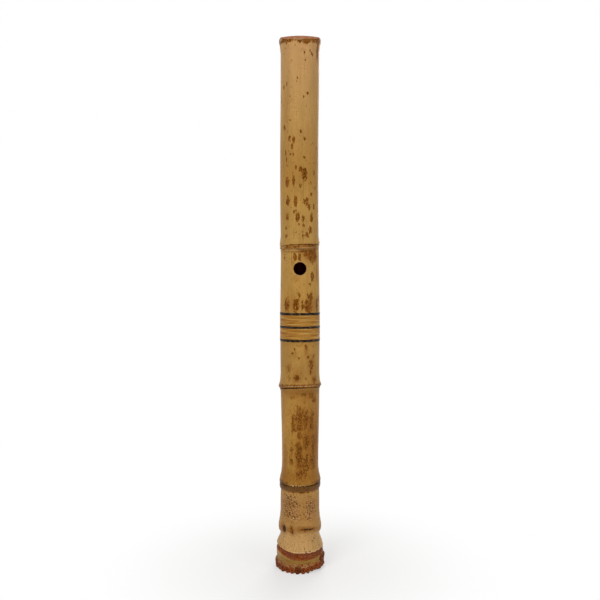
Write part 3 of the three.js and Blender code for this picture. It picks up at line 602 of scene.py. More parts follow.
def scar_lip(turns):
    """Upper edge of the scar band, scalloped on its right"""
    right = smoothstep(np.sin(turns) / 0.5) * smoothstep(np.cos(turns) + 0.6)
    return SCAR_TOP + 0.35 * wandering(turns) - 0.8 * right * np.abs(np.sin(11.5 * turns))


def skin_places(mesh):
    """Places of a culm's points in millimetres, their centre line, and their turn to the right from the back"""
    places = read_places(mesh) / MM
    centre = np.stack((AXIS_X + drift(places[:, 2]), AXIS_Y + sweep(places[:, 2])), -1)
    out = places[:, :2] - centre
    return places, centre, out, np.arctan2(out[:, 0], -out[:, 1])


def culm_radius(heights):
    """Radius of the culm with its nodes, before anything that changes round it"""
    radius = eased(OUTLINE, heights)
    for groove, relief in NODES.values():
        radius += eased(relief, np.asarray(heights, float) - groove)
    return radius


def ring_heights(low, high):
    """Heights of the culm's rings: close together where there is fine relief"""
    heights = [low]
    fine = [(groove - 8, groove + 11) for groove, _ in NODES.values()]
    fine += [(9.0, 27.0), (FLUTE_TOP - 6, FLUTE_TOP)]
    while heights[-1] < high:
        here = heights[-1]
        step = FINE_STEP if any(a <= here <= b for a, b in fine) else PLAIN_STEP
        heights.append(min(here + step, high))
    if heights[-1] - heights[-2] < FINE_STEP / 2:
        del heights[-2]
    return np.array(heights)


def new_object(name, vertices, faces=(), *finishes):
    """An object at the origin from places in millimetres, its faces pointing outwards, with these finishes by name"""
    mesh = bpy.data.meshes.new(name)
    mesh.from_pydata((np.asarray(vertices) * MM).tolist(), [], faces)
    with editing(mesh) as shape:
        bmesh.ops.recalc_face_normals(shape, faces=shape.faces)
    for finish in finishes:
        mesh.materials.append(finish_of(finish))
    piece = bpy.data.objects.new(name, mesh)
    bpy.context.scene.collection.objects.link(piece)
    return piece


def revolve(name, section, finish, sides=TURNED_SIDES, closed=False):
    """A turned body from radius and height points, its outside going up; open sections get flat ends"""
    radius, height = np.array(section, float).T
    turns = np.arange(sides) * FULL_TURN / sides
    x = AXIS_X + radius[:, None] * np.sin(turns)
    y = AXIS_Y + sweep(height)[:, None] - radius[:, None] * np.cos(turns)
    z = np.repeat(height[:, None], sides, 1)
    faces = ring_faces(len(section), sides, closed)
    return new_object(name, np.stack((x, y, z), -1).reshape(-1, 3), faces, finish)


def hole_cutters(half, sides=64):
    """Round cutters from the bore outwards, each with a small flare that bares the bamboo at the hole's outer edge,
    finished pale as a painted highlight
    """
    cutters = []
    for height, radius, facing in HOLES[half]:
        skin = float(culm_radius(height))
        section = ((radius, 0.0), (radius, skin - 1.4), (radius + 0.12, skin - 0.75), (radius + 0.65, skin + 0.05),
                   (radius + 3.2, skin + 3.0))
        turns = np.arange(sides) * FULL_TURN / sides
        places = [
            (AXIS_X + wide * math.cos(turn), AXIS_Y + facing * out, height + wide * math.sin(turn))
            for wide, out in section for turn in turns
        ]
        cutter = new_object("hole", places, ring_faces(len(section), sides), "Red lacquer", "Worn bamboo edge")
        for face in cutter.data.polygons:
            out = abs(face.center.y / MM - AXIS_Y)
            face.material_index = 1 if skin - 0.7 < out < skin + 2.9 else 0
        cutters.append(cutter)
    return cutters


def ring_faces(rows, sides, closed=False):
    """Faces of a tube of rings: with flat ends, or its last ring joined to its first"""
    faces = []
    for i in range(rows if closed else rows - 1):
        below, above = i * sides, (i + 1) % rows * sides
        for j in range(sides):
            k = (j + 1) % sides
            faces.append((below + j, below + k, above + k, above + j))
    if not closed:
        faces += [tuple(reversed(range(sides))), tuple(range((rows - 1) * sides, rows * sides))]
    return faces


def box_cutter(name, matrix, half, depth, finish):
    """A block whose face lies in the matrix's XY plane, and which reaches up its Z"""
    corners = [(x, y, z) for z in (0.0, depth) for y in (-half, half) for x in (-half, half)]
    faces = [(0, 2, 3, 1), (4, 5, 7, 6), (0, 1, 5, 4), (2, 6, 7, 3), (0, 4, 6, 2), (1, 3, 7, 5)]
    return new_object(name, [tuple(matrix @ Vector(corner)) for corner in corners], faces, finish)


def round_cutter(name, matrix, half, finish, steps=32):
    """The same block, as deep as it is wide to each side, its face bulging up like a worn chin bevel's"""
    places, faces = [], []
    for i in range(steps + 1):
        x = half * (2 * i / steps - 1)
        low = -CHIN_BULGE * (x / half) ** 2
        corners = ((-half, low), (half, low), (half, half), (-half, half))
        places += [tuple(matrix @ Vector((x, y, z))) for y, z in corners]
    for i in range(steps):
        faces += [(4 * i + j, 4 * i + (j + 1) % 4, 4 * i + 4 + (j + 1) % 4, 4 * i + 4 + j) for j in range(4)]
    faces += [(3, 2, 1, 0), tuple(4 * steps + j for j in range(4))]
    return new_object(name, places, faces, finish)


@contextmanager
def editing(mesh):
    """A mesh open for editing, and written back at the end"""
    shape = bmesh.new()
    shape.from_mesh(mesh)
    yield shape
    shape.to_mesh(mesh)
    shape.free()


def read_places(mesh):
    """Places of a mesh's points, in metres"""
    places = np.zeros(len(mesh.vertices) * 3, np.float32)
    mesh.vertices.foreach_get("co", places)
    return places.reshape(-1, 3).astype(float)


def write_places(mesh, places):
    """Moves a mesh's points to these places, in metres"""
    mesh.vertices.foreach_set("co", places.astype(np.float32).ravel())


def set_attribute(piece, name, values, kind="FLOAT"):
    """Gives every point of a piece its own value of an attribute"""
    data = piece.data.attributes.new(name, kind, "POINT").data
    data.foreach_set("value" if kind == "FLOAT" else "vector", np.asarray(values, np.float32).ravel())


def close_ends(mesh):
    """Fills the open ends of a tube"""
    with editing(mesh) as shape:
        bmesh.ops.holes_fill(shape, edges=[e for e in shape.edges if e.is_boundary], sides=0)
        bmesh.ops.recalc_face_normals(shape, faces=shape.faces)


def bake_down(piece):
    """Replaces a piece's mesh by what its modifiers make of it, and removes them"""
    bpy.context.view_layer.update()
    result = bpy.data.meshes.new_from_object(piece.evaluated_get(bpy.context.evaluated_depsgraph_get()))
    piece.modifiers.clear()
    old = piece.data
    piece.data = result
    bpy.data.meshes.remove(old)
    result.name = piece.name


def cut(piece, tools):
    """Cuts a piece by tools, removes them and settles what is left"""
    for tool in tools:
        step = piece.modifiers.new(tool.name, "BOOLEAN")
        step.object, step.operation, step.solver, step.material_mode = tool, "DIFFERENCE", "EXACT", "TRANSFER"
    bake_down(piece)
    for tool in tools:
        mesh = tool.data
        bpy.data.objects.remove(tool)
        bpy.data.meshes.remove(mesh)
    settle(piece)


def settle(piece):
    """Splits the long faces of cuts and shades everything smooth but its real edges"""
    with editing(piece.data) as shape:
        bmesh.ops.remove_doubles(shape, verts=shape.verts, dist=WELD * MM)
        bmesh.ops.dissolve_degenerate(shape, edges=shape.edges, dist=WELD * MM)
        bmesh.ops.triangulate(shape, faces=[f for f in shape.faces if len(f.verts) > 4])
        for face in shape.faces:
            face.smooth = True
    piece.data.set_sharp_from_angle(angle=math.radians(32))


def new_tree(name, inputs):
    """A Geometry Nodes tree with these named inputs, the function that adds a node to it, and its given values"""
    tree = bpy.data.node_groups.new(name, "GeometryNodeTree")
    tree.is_modifier = True
    for label, kind in (("Geometry", "Geometry"), *inputs.items()):
        tree.interface.new_socket(label, in_out="INPUT", socket_type="NodeSocket" + kind)
    tree.interface.new_socket("Geometry", in_out="OUTPUT", socket_type="NodeSocketGeometry")
    return tree, partial(add, tree), tree.nodes.new("NodeGroupInput").outputs


def end_tree(put, geometry, material):
    """Ends a tree in plain geometry with its material"""
    geometry = put("RealizeInstances", put("SetShadeSmooth", {"Geometry": geometry}))
    put("NodeGroupOutput", put("SetMaterial", {"Geometry": geometry, "Material": material}))


def run_tree(piece, name, values):
    """Runs a tree, made the first time it is asked for, on a piece and keeps its result as a plain mesh"""
    tree = bpy.data.node_groups.get(name) or TREES[name]()
    modifier = piece.modifiers.new(tree.name, "NODES")
    modifier.node_group = tree
    inputs = [item for item in tree.interface.items_tree if item.item_type == "SOCKET" and item.in_out == "INPUT"]
    identifiers = {item.name: item.identifier for item in inputs}
    for label, value in values.items():
        modifier[identifiers[label]] = value
    bake_down(piece)


def culm_tree():
    """A culm: a ring of skin at each point of its centre line, as wide as that point says, slightly uneven"""
    tree, put, given = new_tree(
        "Culm", {"Sides": "Int", "Unevenness": "Float", "Seed": "Float", "Material": "Material"}
    )
    rail = given["Geometry"]
    rings = put("AttributeDomainSize", rail)
    grid = put("MeshGrid", {"Vertices X": put("ADD", given["Sides"], 1.0), "Vertices Y": rings})
    spot = put("SeparateXYZ", put("InputPosition")).node.outputs
    turn = put("MULTIPLY", put("ADD", spot[0], 0.5), FULL_TURN)
    ring = put("ROUND", put("MULTIPLY", put("ADD", spot[1], 0.5), put("SUBTRACT", rings, 1.0)))
    centre = put("SampleIndex", rail, put("InputPosition"), {"Index": ring}, data_type="FLOAT_VECTOR")
    width = put("InputNamedAttribute", {"Name": "ring_radius"})
    radius = put("SampleIndex", rail, width, {"Index": ring})
    outwards = put("CombineXYZ", put("SINE", turn), put("MULTIPLY", put("COSINE", turn), -1.0))
    around = put("VectorMath", outwards, {"Scale": 12 * MM}, operation="SCALE")
    lobe = put("VectorMath", put("VectorMath", centre, around), (1.0, 1.0, 0.35), operation="MULTIPLY")
    uneven = put("TexNoise", {"Vector": lobe, "W": given["Seed"], "Scale": per(16)[0], "Detail": 1.0},
                 noise_dimensions="4D")
    uneven = put("MULTIPLY", put("SUBTRACT", uneven, 0.5), given["Unevenness"])
    uneven = put("MULTIPLY_ADD", uneven, 2.0, radius)
    place = put("VectorMath", centre, put("VectorMath", outwards, {"Scale": uneven}, operation="SCALE"))
    skin = put("SetPosition", {"Geometry": grid, "Position": place})
    end_tree(put, put("MergeByDistance", {"Geometry": skin, "Distance": WELD * MM}), given["Material"])
    return tree


def winding_tree():
    """A strand wound in level loops that each climb one pitch in a short stretch, its ends tucked in"""
    sizes = ("Loops", "Loop Radius", "Pitch", "First Level", "Seam", "Climb", "Width", "Thickness", "Flatness",
             "Steps", "Tuck", "Waver", "Seed")
    tree, put, given = new_tree(
        "Winding", {**dict.fromkeys(sizes, "Float"), "Centre": "Vector", "Material": "Material"}
    )
    total = put("SUBTRACT", given["Loops"], given["Climb"])
    steps = put("ROUND", put("MULTIPLY", total, given["Steps"]))
    line = put("MeshLine", {"Count": put("ADD", steps, 1.0), "Offset": (MM, 0.0, 0.0)})
    turn = put("MULTIPLY", put("DIVIDE", put("InputIndex"), steps), total)
    loop = put("FLOOR", turn)
    rise_from = put("SUBTRACT", 1.0, given["Climb"])
    climb = put("MapRange", put("FRACT", turn), rise_from, 1.0, interpolation_type="SMOOTHSTEP")
    level = put("MINIMUM", put("ADD", loop, climb), put("SUBTRACT", given["Loops"], 1.0))
    height = put("MULTIPLY_ADD", level, given["Pitch"], given["First Level"])
    waver = put("TexNoise", {"W": put("ADD", turn, given["Seed"]), "Vector": given["Centre"], "Scale": 3.0,
                             "Detail": 1.0}, noise_dimensions="4D")
    height = put("MULTIPLY_ADD", put("SUBTRACT", waver, 0.5), given["Waver"], height)
    end = put("MINIMUM", turn, put("SUBTRACT", total, turn))
    out = put("SUBTRACT", put("MapRange", end, 0.0, 0.007, interpolation_type="SMOOTHSTEP"), 1.0)
    radius = put("MULTIPLY_ADD", out, given["Tuck"], given["Loop Radius"])
    angle = put("MULTIPLY_ADD", turn, FULL_TURN, given["Seam"])
    x, y = (put("MULTIPLY", put(wave, angle), radius) for wave in ("COSINE", "SINE"))
    place = put("VectorMath", put("CombineXYZ", x, y, height), given["Centre"])
    line = put("SetPosition", {"Geometry": line, "Position": place})
    line = put("StoreNamedAttribute", {"Geometry": line, "Name": "loop", "Value": loop})
    strand = put("SetCurveNormal", put("MeshToCurve", line), mode="Z_UP")
    length = put("MULTIPLY", put("SplineParameter", output=1), 1 / MM)
    strand = put("StoreNamedAttribute", {"Geometry": strand, "Name": "along", "Value": length})
    profile = put("CurvePrimitiveCircle", {"Resolution": 12, "Radius": 0.5})
    point = put("SeparateXYZ", put("InputPosition")).node.outputs
    profile = put("StoreNamedAttribute", {"Geometry": profile, "Name": "across", "Value": point[1]})
    flat = put("MAXIMUM", point[0], put("MULTIPLY_ADD", given["Flatness"], -0.5, 0.0))
    section = put("CombineXYZ", put("MULTIPLY", flat, given["Thickness"]), put("MULTIPLY", point[1], given["Width"]))
    profile = put("SetPosition", {"Geometry": profile, "Position": section})
    tube = put("CurveToMesh", {"Curve": strand, "Profile Curve": profile, "Fill Caps": True})
    end_tree(put, tube, given["Material"])
    return tree


def root_tree():
    """Trimmed roots: one root form on each point, turned outwards and down, as large as the point says"""
    tree, put, given = new_tree("Roots", {"Form": "Object", "Seed": "Int", "Jitter": "Float", "Material": "Material"})
    form = put("ObjectInfo", {"Object": given["Form"], "As Instance": True}, output=4)
    dip, turn = (put("InputNamedAttribute", {"Name": name}) for name in ("dip", "turn"))
    size = put("InputNamedAttribute", {"Name": "size"}, data_type="FLOAT_VECTOR")
    drawn = put("RandomValue", {2: -1.0, 3: 1.0, "Seed": given["Seed"]}, output=1, data_type="FLOAT")
    roll = put("MULTIPLY", put("MULTIPLY", drawn, 2.2), given["Jitter"])
    lean = put("ADD", put("MULTIPLY_ADD", drawn, given["Jitter"], dip), math.pi / 2)
    turned, spin = (put("EulerToRotation", put("CombineXYZ", row)) for row in ({1: lean, 2: turn}, {2: roll}))
    turned = put("RotateRotation", turned, spin, rotation_space="LOCAL")
    roots = put(
        "InstanceOnPoints", {"Points": given["Geometry"], "Instance": form, "Rotation": turned, "Scale": size}
    )
    end_tree(put, roots, given["Material"])
    return tree


TREES = {"Culm": culm_tree, "Winding": winding_tree, "Roots": root_tree}


def root_form(name, section, sides=28):
    """One root along +Z, from radius and height points in millimetres; `ring` says how far from its core, and down its
    side how deep, which the finish darkens as painted shade
    """
    section = np.array(section, float)
    places = []
    for row, (radius, height) in enumerate(section):
        for turn in np.arange(sides) * FULL_TURN / sides:
            wave = 1 + 0.045 * math.sin(3 * turn + 0.6 * row) + 0.03 * math.sin(5 * turn + 1.3)
            places.append((radius * wave * math.cos(turn), radius * wave * math.sin(turn), height))
    form = new_object(name, places, ring_faces(len(section), sides))
    side_rows = int(np.argmax(section[:, 1] > section[:, 1].max() - 1.6))
    rings = np.repeat(section[:, 0] / section[:, 0].max(), sides)
    # Down the side, ring grows past 1 with depth, for the painted shade there
    rings[: side_rows * sides] = 1.0 - np.repeat(section[:side_rows, 1], sides) / 4
    # Painted highlight on the side of each root that faces up
    top_highlights = np.clip(-np.cos(np.tile(np.arange(sides) * FULL_TURN / sides, len(section))), 0, 1) ** 1.6 * (rings > 0.6)
    set_attribute(form, "ring", rings)
    set_attribute(form, "hood", top_highlights)
    return form


def root_points(name, rows):
    """Points for the roots, each with its turn and dip in radians, its size and how dark it is"""
    points = new_object(name, [row["place"] for row in rows])
    for label in ("turn", "dip", "tint"):
        set_attribute(points, label, [row[label] for row in rows])
    set_attribute(points, "size", [row["size"] for row in rows], "FLOAT_VECTOR")
    return points


def scattered_spots(draw):
    """The mottling of the back, and more of the same kind round the sides and the front"""
    back = [(h, math.asin(max(-1, min(1, a / SKIN))), l, w, s) for h, a, l, w, s in MOTTLING]
    spots = list(back)
    for h, turn, long, wide, strength in back:
        if wide >= 1.8:
            away = math.pi - turn + draw.normal(0, 0.25)
            spots.append((h + draw.normal(0, 9), away, long, wide * draw.uniform(0.7, 1.2), strength))
    for _ in range(70):
        h = draw.uniform(60, 500)
        if draw.random() < (500 - h) / 420:
            side = draw.choice((-1, 1)) * draw.uniform(1.15, 1.95)
            spots.append((h, side, draw.uniform(2, 9), draw.uniform(1.4, 4), draw.uniform(0.6, 0.95)))
    return spots


def place_marks(piece, seed):
    """Gives every point of a culm its share of each mark of the skin"""
    places, _, _, turns = skin_places(piece.data)
    heights = places[:, 2]
    level = find_levels(heights, turns)
    across = turns * SKIN
    wander = wandering(turns)
    rough = 0.5 + 0.3 * np.sin(turns * 46 + 2 * np.sin(turns * 9))
    rough += 0.3 * np.sin(turns * 71 + 3 * np.sin(turns * 13 + 1))

    def patches(rows, soft):
        total = np.zeros(len(heights))
        for h, turn, long, wide, strength in rows:
            near = np.abs(heights - h) < long
            away = (turns[near] - turn + np.pi) % FULL_TURN - np.pi
            far = np.hypot((heights[near] - h) / (long / 2), away * SKIN / (wide / 2))
            inside = smoothstep((1 + soft - far) / (2 * soft)) if soft else np.clip(1.3 - 0.8 * far**2, 0, None)
            total[near] = np.maximum(total[near], strength * inside)
        return total

    def band(low, high, soft):
        return smoothstep((level - low + soft) / (2 * soft)) * smoothstep((high + soft - level) / (2 * soft))

    def by(middle, reach):
        return smoothstep(1.5 - np.abs(across - middle) / reach)

    toast = [(h, 0.0 if w > 50 else math.asin(max(-1, min(1, a / SKIN))), l, w, s) for h, a, l, w, s in TOASTING]
    toast += [(h, math.pi, l, w, s * 0.8) for h, a, l, w, s in toast if 13 < w <= 50]
    toast = [(h, a, l, w if w <= 50 else 400, s) for h, a, l, w, s in toast]
    high, middle, low, root = (NODES[name][0] for name in ("high", "middle", "low", "root"))
    ends = smoothstep((np.abs(across) - 8) / 12) * (np.abs(across) < 30)
    soot = band(high - 0.3, high + 0.35, 0.3) * (0.3 + 0.6 * by(1, 4.5))
    soot += band(high + 4.0, high + 5.3, 0.55) * (0.42 + 0.32 * by(13, 6)) * (0.55 + 0.6 * rough)
    dark = 0.34 + 0.5 * by(-11, 12) + 0.4 * by(-19, 4)
    soot += band(middle - 0.6, middle + 0.4, 0.3) * dark * (0.8 + 0.3 * rough)
    soot += band(low - 0.45, low + 0.45, 0.35) * (0.85 + 0.2 * rough)
    # Painted glints just above the low node's black line, which break that line
    glints = band(low - 0.2, low + 1.0, 0.25) * by(-3, 8) * smoothstep((rough - 0.46) / 0.15)
    soot *= 1 - np.clip(glints, 0, 1)
    soot += band(low + 0.4, low + 2.6, 1.6) * 0.7 * ends * (0.35 + 0.9 * rough)
    soot += 0.5 * band(low - 6.2, low - 5.1, 0.7) * (0.2 + 0.9 * rough) * (0.5 + 0.5 * by(-3, 10))
    for h, turn, long, wide, strength in SOOT_AND_SHADE_SPOTS:
        far = np.hypot((heights - h) / (long / 2), (turns - turn) * 21.6 / (wide / 2))
        soot = np.maximum(soot, strength * smoothstep((1.3 - far) / 0.7))
    soot = np.maximum(soot, 1.0 * band(root - 1.2, root + 0.5, 0.6) * by(7, 6) * (0.3 + 0.7 * rough))
    # Painted shade at the foot, under and between the roots
    soot = np.maximum(soot, 0.6 * smoothstep((5.2 - heights) / 2.5))
    mottling = np.maximum.reduce((
        patches(scattered_spots(np.random.default_rng(seed)), 0),
        1.1 * band(high + 4.1, high + 5.2, 0.45) * (0.8 + 0.3 * wander),
        0.75 * band(high - 3.2, high - 1.0, 0.9) * (0.5 + 0.5 * by(11, 9)),
        1.05 * band(high + 0.8, high + 5, 0.7) * by(13, 6),
        0.7 * band(high + 0.8, high + 4, 0.7) * by(-9, 8),
        1.1 * band(middle + 0.4, middle + 3.6, 0.5) * (0.8 + 0.3 * wander),
        0.8 * band(low + 0.6, low + 4, 2.4) * (ends + 0.45 * by(3, 8)),
        1.0 * band(low - 7.2, low - 5.4, 0.6) * (0.8 + 0.35 * wander),
        1.0 * smoothstep((heights - FLUTE_TOP + 10.5 + 2.2 * wander) / 4) * (0.9 + 0.25 * wander),
    ))
    toasting = np.maximum.reduce((
        patches(toast, 0.8),
        0.8 * band(root - 3.6, root + 2.6, 1.8) * (0.85 + 0.25 * wander),
        0.95 * band(high + 0.2, high + 4.8, 0.6) * (0.8 + 0.3 * wander),
        0.95 * band(high - 3.8, high - 0.4, 1.2) * (0.35 + 0.65 * by(10, 12)),
        0.8 * band(high + 0.6, high + 4.6, 0.8) * by(14, 7),
        0.75 * band(middle + 0.2, middle + 2.8, 0.5),
        0.5 * band(middle - 6.5, middle - 0.8, 1.6),
        0.9 * band(low + 0.4, low + 4.5, 2.4) * (0.4 + 0.6 * ends),
    ))
    lip = scar_lip(turns)
    cork = smoothstep((level - SCAR_FOOT + 0.4) / 0.8) * smoothstep((lip - level + 0.3) / 0.6)
    bevel = (places[:, 1] - AXIS_Y + MOUTH_RADIUS) * -math.sin(CHIN_ANGLE)
    bevel += (heights - FLUTE_TOP + CHIN_HEIGHT) * math.cos(CHIN_ANGLE)
    # Painted highlights: a pale line on the scar band's lip, dotted light along the middle node's bead, glints on the
    # low node's line, pale strips by the high node, a line along the chin bevel's edge and a spot on the rim
    wear = 1.1 * smoothstep((level - lip + 0.2) / 0.4) * smoothstep((lip + 0.9 - level) / 0.5) * by(4, 18)
    wear += 0.9 * band(middle + 1.7, middle + 2.4, 0.35) * rough * by(0, 17)
    wear += 1.3 * glints
    wear += 0.4 * band(high - 1.3, high - 0.6, 0.3) * by(-8, 8) + 0.6 * band(high + 0.7, high + 1.3, 0.3) * by(8, 8)
    wear += 0.6 * smoothstep((bevel + 0.55) / 0.3) * smoothstep((6 - across) / 8)
    wear += 0.7 * patches(((541.6, -1.15, 2.4, 5, 1),), 0.4)
    marks = {
        "mottling": mottling,
        "toasting": toasting,
        "soot": soot,
        "cork": cork + smoothstep((10.4 - heights + 0.5 * wander) / 1.0),
        "wear": wear * (0.8 + 0.3 * wander),
        "pits": patches(PITS, 0.6),
        "bruise": np.maximum.reduce((
            band(low - 5.4, low - 0.3, 0.5),
            0.42 * band(high - 3.6, high - 0.5, 0.9) * by(5, 13) * (0.7 + 0.3 * wander),
            0.3 * band(middle - 6.5, middle - 0.9, 2.2) * (0.4 + 0.6 * by(7, 12)),
            0.55 * band(low + 0.3, low + 3.2, 1.8) * ends * (0.5 + 0.6 * rough),
        )),
    }
    for name in MARKS:
        set_attribute(piece, name, np.clip(marks[name], 0, 1))


def culm_skin(name, low, high, seed):
    """The closed outside of one half of the culm, with its nodes and root end"""
    look = bpy.context.scene.shakuhachi_culm
    heights = ring_heights(low, high)
    seat_low, seat_high = JOINT_HEIGHT - BINDING_REACH, JOINT_HEIGHT + BINDING_REACH
    step = seat_low if low < seat_low else seat_high
    heights = np.array(sorted(set(heights[np.abs(heights - step) > 0.3]) | {step - 0.02, step + 0.02}))
    radius = culm_radius(heights)
    radius[(heights > seat_low) & (heights < seat_high)] = SEAT_RADIUS
    skin = new_object(name, np.stack((AXIS_X + drift(heights), AXIS_Y + sweep(heights), heights), -1))
    set_attribute(skin, "ring_radius", radius * MM)
    values = {"Sides": look.sides, "Unevenness": look.unevenness, "Seed": float(seed)}
    run_tree(skin, "Culm", {**values, "Material": finish_of("Polished madake skin")})
    shape_relief(skin.data)
    close_ends(skin.data)
    return skin


def shape_relief(mesh):
    """Moves the nodes' lines and gives the root end its lip, its band of scars and its fine rings"""
    places, centre, out, turns = skin_places(mesh)
    heights = places[:, 2]
    radius = np.hypot(out[:, 0], out[:, 1])
    above = heights - scar_lip(turns)
    extra = 0.5 * smoothstep((above + 0.4) / 0.45) * smoothstep((2.2 - above) / 1.9)
    extra -= 0.45 * smoothstep((heights - SCAR_FOOT) / 0.8) * smoothstep(-above / 0.5)
    rings = smoothstep((heights - 9.4) / 0.6) * smoothstep((SCAR_FOOT - heights) / 0.6)
    extra += 0.13 * rings * np.sin(heights * FULL_TURN / 1.3 + 0.8 * np.sin(2 * turns))
    places[:, :2] = centre + out * ((radius + extra) / radius)[:, None]
    places[:, 2] = heights + stray(heights, turns)
    write_places(mesh, places * MM)


def bare_ends(mesh, *ends):
    """Gives the flat ends of a culm the finish of its cut wall"""
    wall = mesh.materials.find("Cut bamboo wall")
    for face in mesh.polygons:
        if min(abs(face.center.z / MM - end) for end in ends) < 0.05:
            face.material_index = wall


def cavity_section(low, high, extra):
    """Radius and height points of the bore, made wider by the extra"""
    heights = np.linspace(low, high, 24)
    return [(float(eased(BORE, h)) + extra, float(h)) for h in heights]


def blowing_frame():
    """Frame of the blowing cut: X across, Y down the slope, Z out of the cut face, from the blowing edge"""
    down = Vector((0, math.sin(BLOWING_CUT), -math.cos(BLOWING_CUT)))
    out = Vector((0, math.cos(BLOWING_CUT), math.sin(BLOWING_CUT)))
    edge = Vector((AXIS_X, AXIS_Y + BORE[-1][1], FLUTE_TOP - BLOWING_EDGE_DEPTH))
    matrix = Matrix((Vector((1, 0, 0)), down, out)).transposed().to_4x4()
    matrix.translation = edge
    return matrix


def chin_frame():
    """Frame of the chin bevel, Z out of its face"""
    place = Vector((AXIS_X, AXIS_Y - MOUTH_RADIUS, FLUTE_TOP - CHIN_HEIGHT))
    return Matrix.Translation(place) @ Matrix.Rotation(CHIN_ANGLE, 4, "X")


def inlay_block(name, allowance, rise, finish):
    """The inlay's outline, wider at the blowing edge than at its foot, sunk in the cut face"""
    top, foot = -(BLOWING_EDGE_DEPTH / math.cos(BLOWING_CUT) + 2.5), 8.0
    foot_half = 5.2 + allowance
    top_half = foot_half + (foot - top) * 3.0 / 11.0
    outline = ((-foot_half, foot), (foot_half, foot), (top_half, top), (-top_half, top))
    places = [tuple(blowing_frame() @ Vector((x, y, z))) for z in (-2.6, rise) for x, y in outline]
    faces = [(3, 2, 1, 0), (4, 5, 6, 7), (0, 1, 5, 4), (1, 2, 6, 5), (2, 3, 7, 6), (3, 0, 4, 7)]
    return new_object(name, places, faces, finish)


def mouth_cutters(finish):
    """The cutters of the blowing cut and of the inlay's seat"""
    blowing_cut = box_cutter("blowing_cut", blowing_frame(), CUTTER_REACH, CUTTER_REACH, finish)
    return [blowing_cut, inlay_block("inlay_seat", INLAY_GAP, 8.0, finish)]


def build_culm(half, low, high, hollow, mouth, skin_seed, mark_seed):
    """One half of the culm: its skin, cut by its bore, its holes and the cutters of the mouth end, with its marks"""
    culm = culm_skin(f"{half}_culm_bamboo", low, high, skin_seed)
    cut(culm, [revolve("bore", hollow, "Cut bamboo wall"), *hole_cutters(half), *mouth])
    bare_ends(culm.data, low, high)
    place_marks(culm, mark_seed)
    hand_over(culm, f"{half}_section", "bamboo", f"{half}_culm")


def hand_over(piece, body, slot, *nodes):
    """Makes a finished piece move with its body and stand for its CAD nodes"""
    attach(piece, body)
    if nodes:
        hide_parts(*nodes)


class SHAKUHACHI_OT_lower_culm(bpy.types.Operator):
    """Builds the lower half of the culm, from the root end to the joint"""

    bl_idname = "shakuhachi.lower_culm"
    bl_label = "Lower culm"

    def execute(self, context):
        hollow = cavity_section(-4.0, LOWER_LINING_TOP, LINING_WALL)
        hollow += [(TENON_RADIUS + TENON_GAP, LOWER_LINING_TOP), (TENON_RADIUS + TENON_GAP, LOWER_TOP + 4.0)]
        build_culm("lower", 0.0, LOWER_TOP, hollow, [], 3, 11)
        return {"FINISHED"}


class SHAKUHACHI_OT_upper_culm(bpy.types.Operator):
    """Builds the upper half of the culm, from the joint to the mouth"""

    bl_idname = "shakuhachi.upper_culm"
    bl_label = "Upper culm"

    def execute(self, context):
        hollow = [(SLEEVE_RADIUS, UPPER_FOOT - 4.0), (SLEEVE_RADIUS, UPPER_LINING_FOOT)]
        hollow += cavity_section(UPPER_LINING_FOOT, FLUTE_TOP + 4.0, LINING_WALL)
        blowing_cut, inlay_seat = mouth_cutters("Cut bamboo wall")
        chin = round_cutter("chin_bevel", chin_frame(), CUTTER_REACH, "Handled chin bevel")
        build_culm("upper", UPPER_FOOT, FLUTE_TOP, hollow, [blowing_cut, chin, inlay_seat], 8, 12)
        return {"FINISHED"}


class SHAKUHACHI_OT_roots(bpy.types.Operator):
    """Builds the trimmed roots at the foot and the round scars of the band above them"""

    bl_idname = "shakuhachi.roots"
    bl_label = "Roots"

    def execute(self, context):
        look = context.scene.shakuhachi_roots
        r = look.radius / MM
        peg = root_form("peg", [(wide * r, height) for wide, height in PEG])
        disc = root_form("scar", SCAR)
        # Scars get a weaker painted highlight
        for item in disc.data.attributes["hood"].data:
            item.value *= 0.3
        draw = np.random.default_rng(5)
        step = (FRONT_TO - FRONT_FROM) / look.hidden
        nubs = list(BACK_ROOTS)
        for i in range(look.hidden):
            nubs.append((FRONT_FROM + step * (i + 0.5), 5.4 + draw.normal(0, 0.7), 0.97 + draw.normal(0, 0.1),
                         1.2 + draw.normal(0, 0.08), draw.uniform(0, 0.5)))
        pegs, scars = [], []
        for turn, height, wide, high, tint in nubs:
            turn = math.radians(turn - 90)
            dip = math.radians(-5 + draw.normal(0, 4))
            place = place_round(turn, trim_radius() - 0.3 - draw.uniform(0, 0.6), height)
            pegs.append({"place": place, "turn": turn, "dip": dip, "tint": tint, "size": (high, wide, 1.0)})
        band = (SCAR_FOOT + SCAR_TOP) / 2
        for i in range(look.scars):
            turn = FULL_TURN * (i + 0.5) / look.scars + draw.normal(0, 0.03)
            height = band - 0.4 + float(stray(band, turn + math.pi / 2)) + draw.normal(0, 0.8)
            place = place_round(turn, float(eased(OUTLINE, height)) - 0.75, height)
            size = 1 + draw.normal(0, 0.14)
            scars.append({"place": place, "turn": turn, "dip": 0.12, "tint": draw.uniform(0.05, 0.4),
                          "size": (size * 1.15, size, 1.0)})
        finish = finish_of("Trimmed bamboo root")
        for name, rows, form, jitter in (("root_nubs", pegs, peg, 0.1), ("root_scars", scars, disc, 0.05)):
            roots = root_points(name, rows)
            run_tree(roots, "Roots", {"Form": form, "Seed": 4, "Jitter": jitter, "Material": finish})
            trim_roots(roots.data)
            roots.data.set_sharp_from_angle(angle=math.radians(50))
            hand_over(roots, "lower_section", "bamboo")
            bpy.data.objects.remove(form)
        return {"FINISHED"}


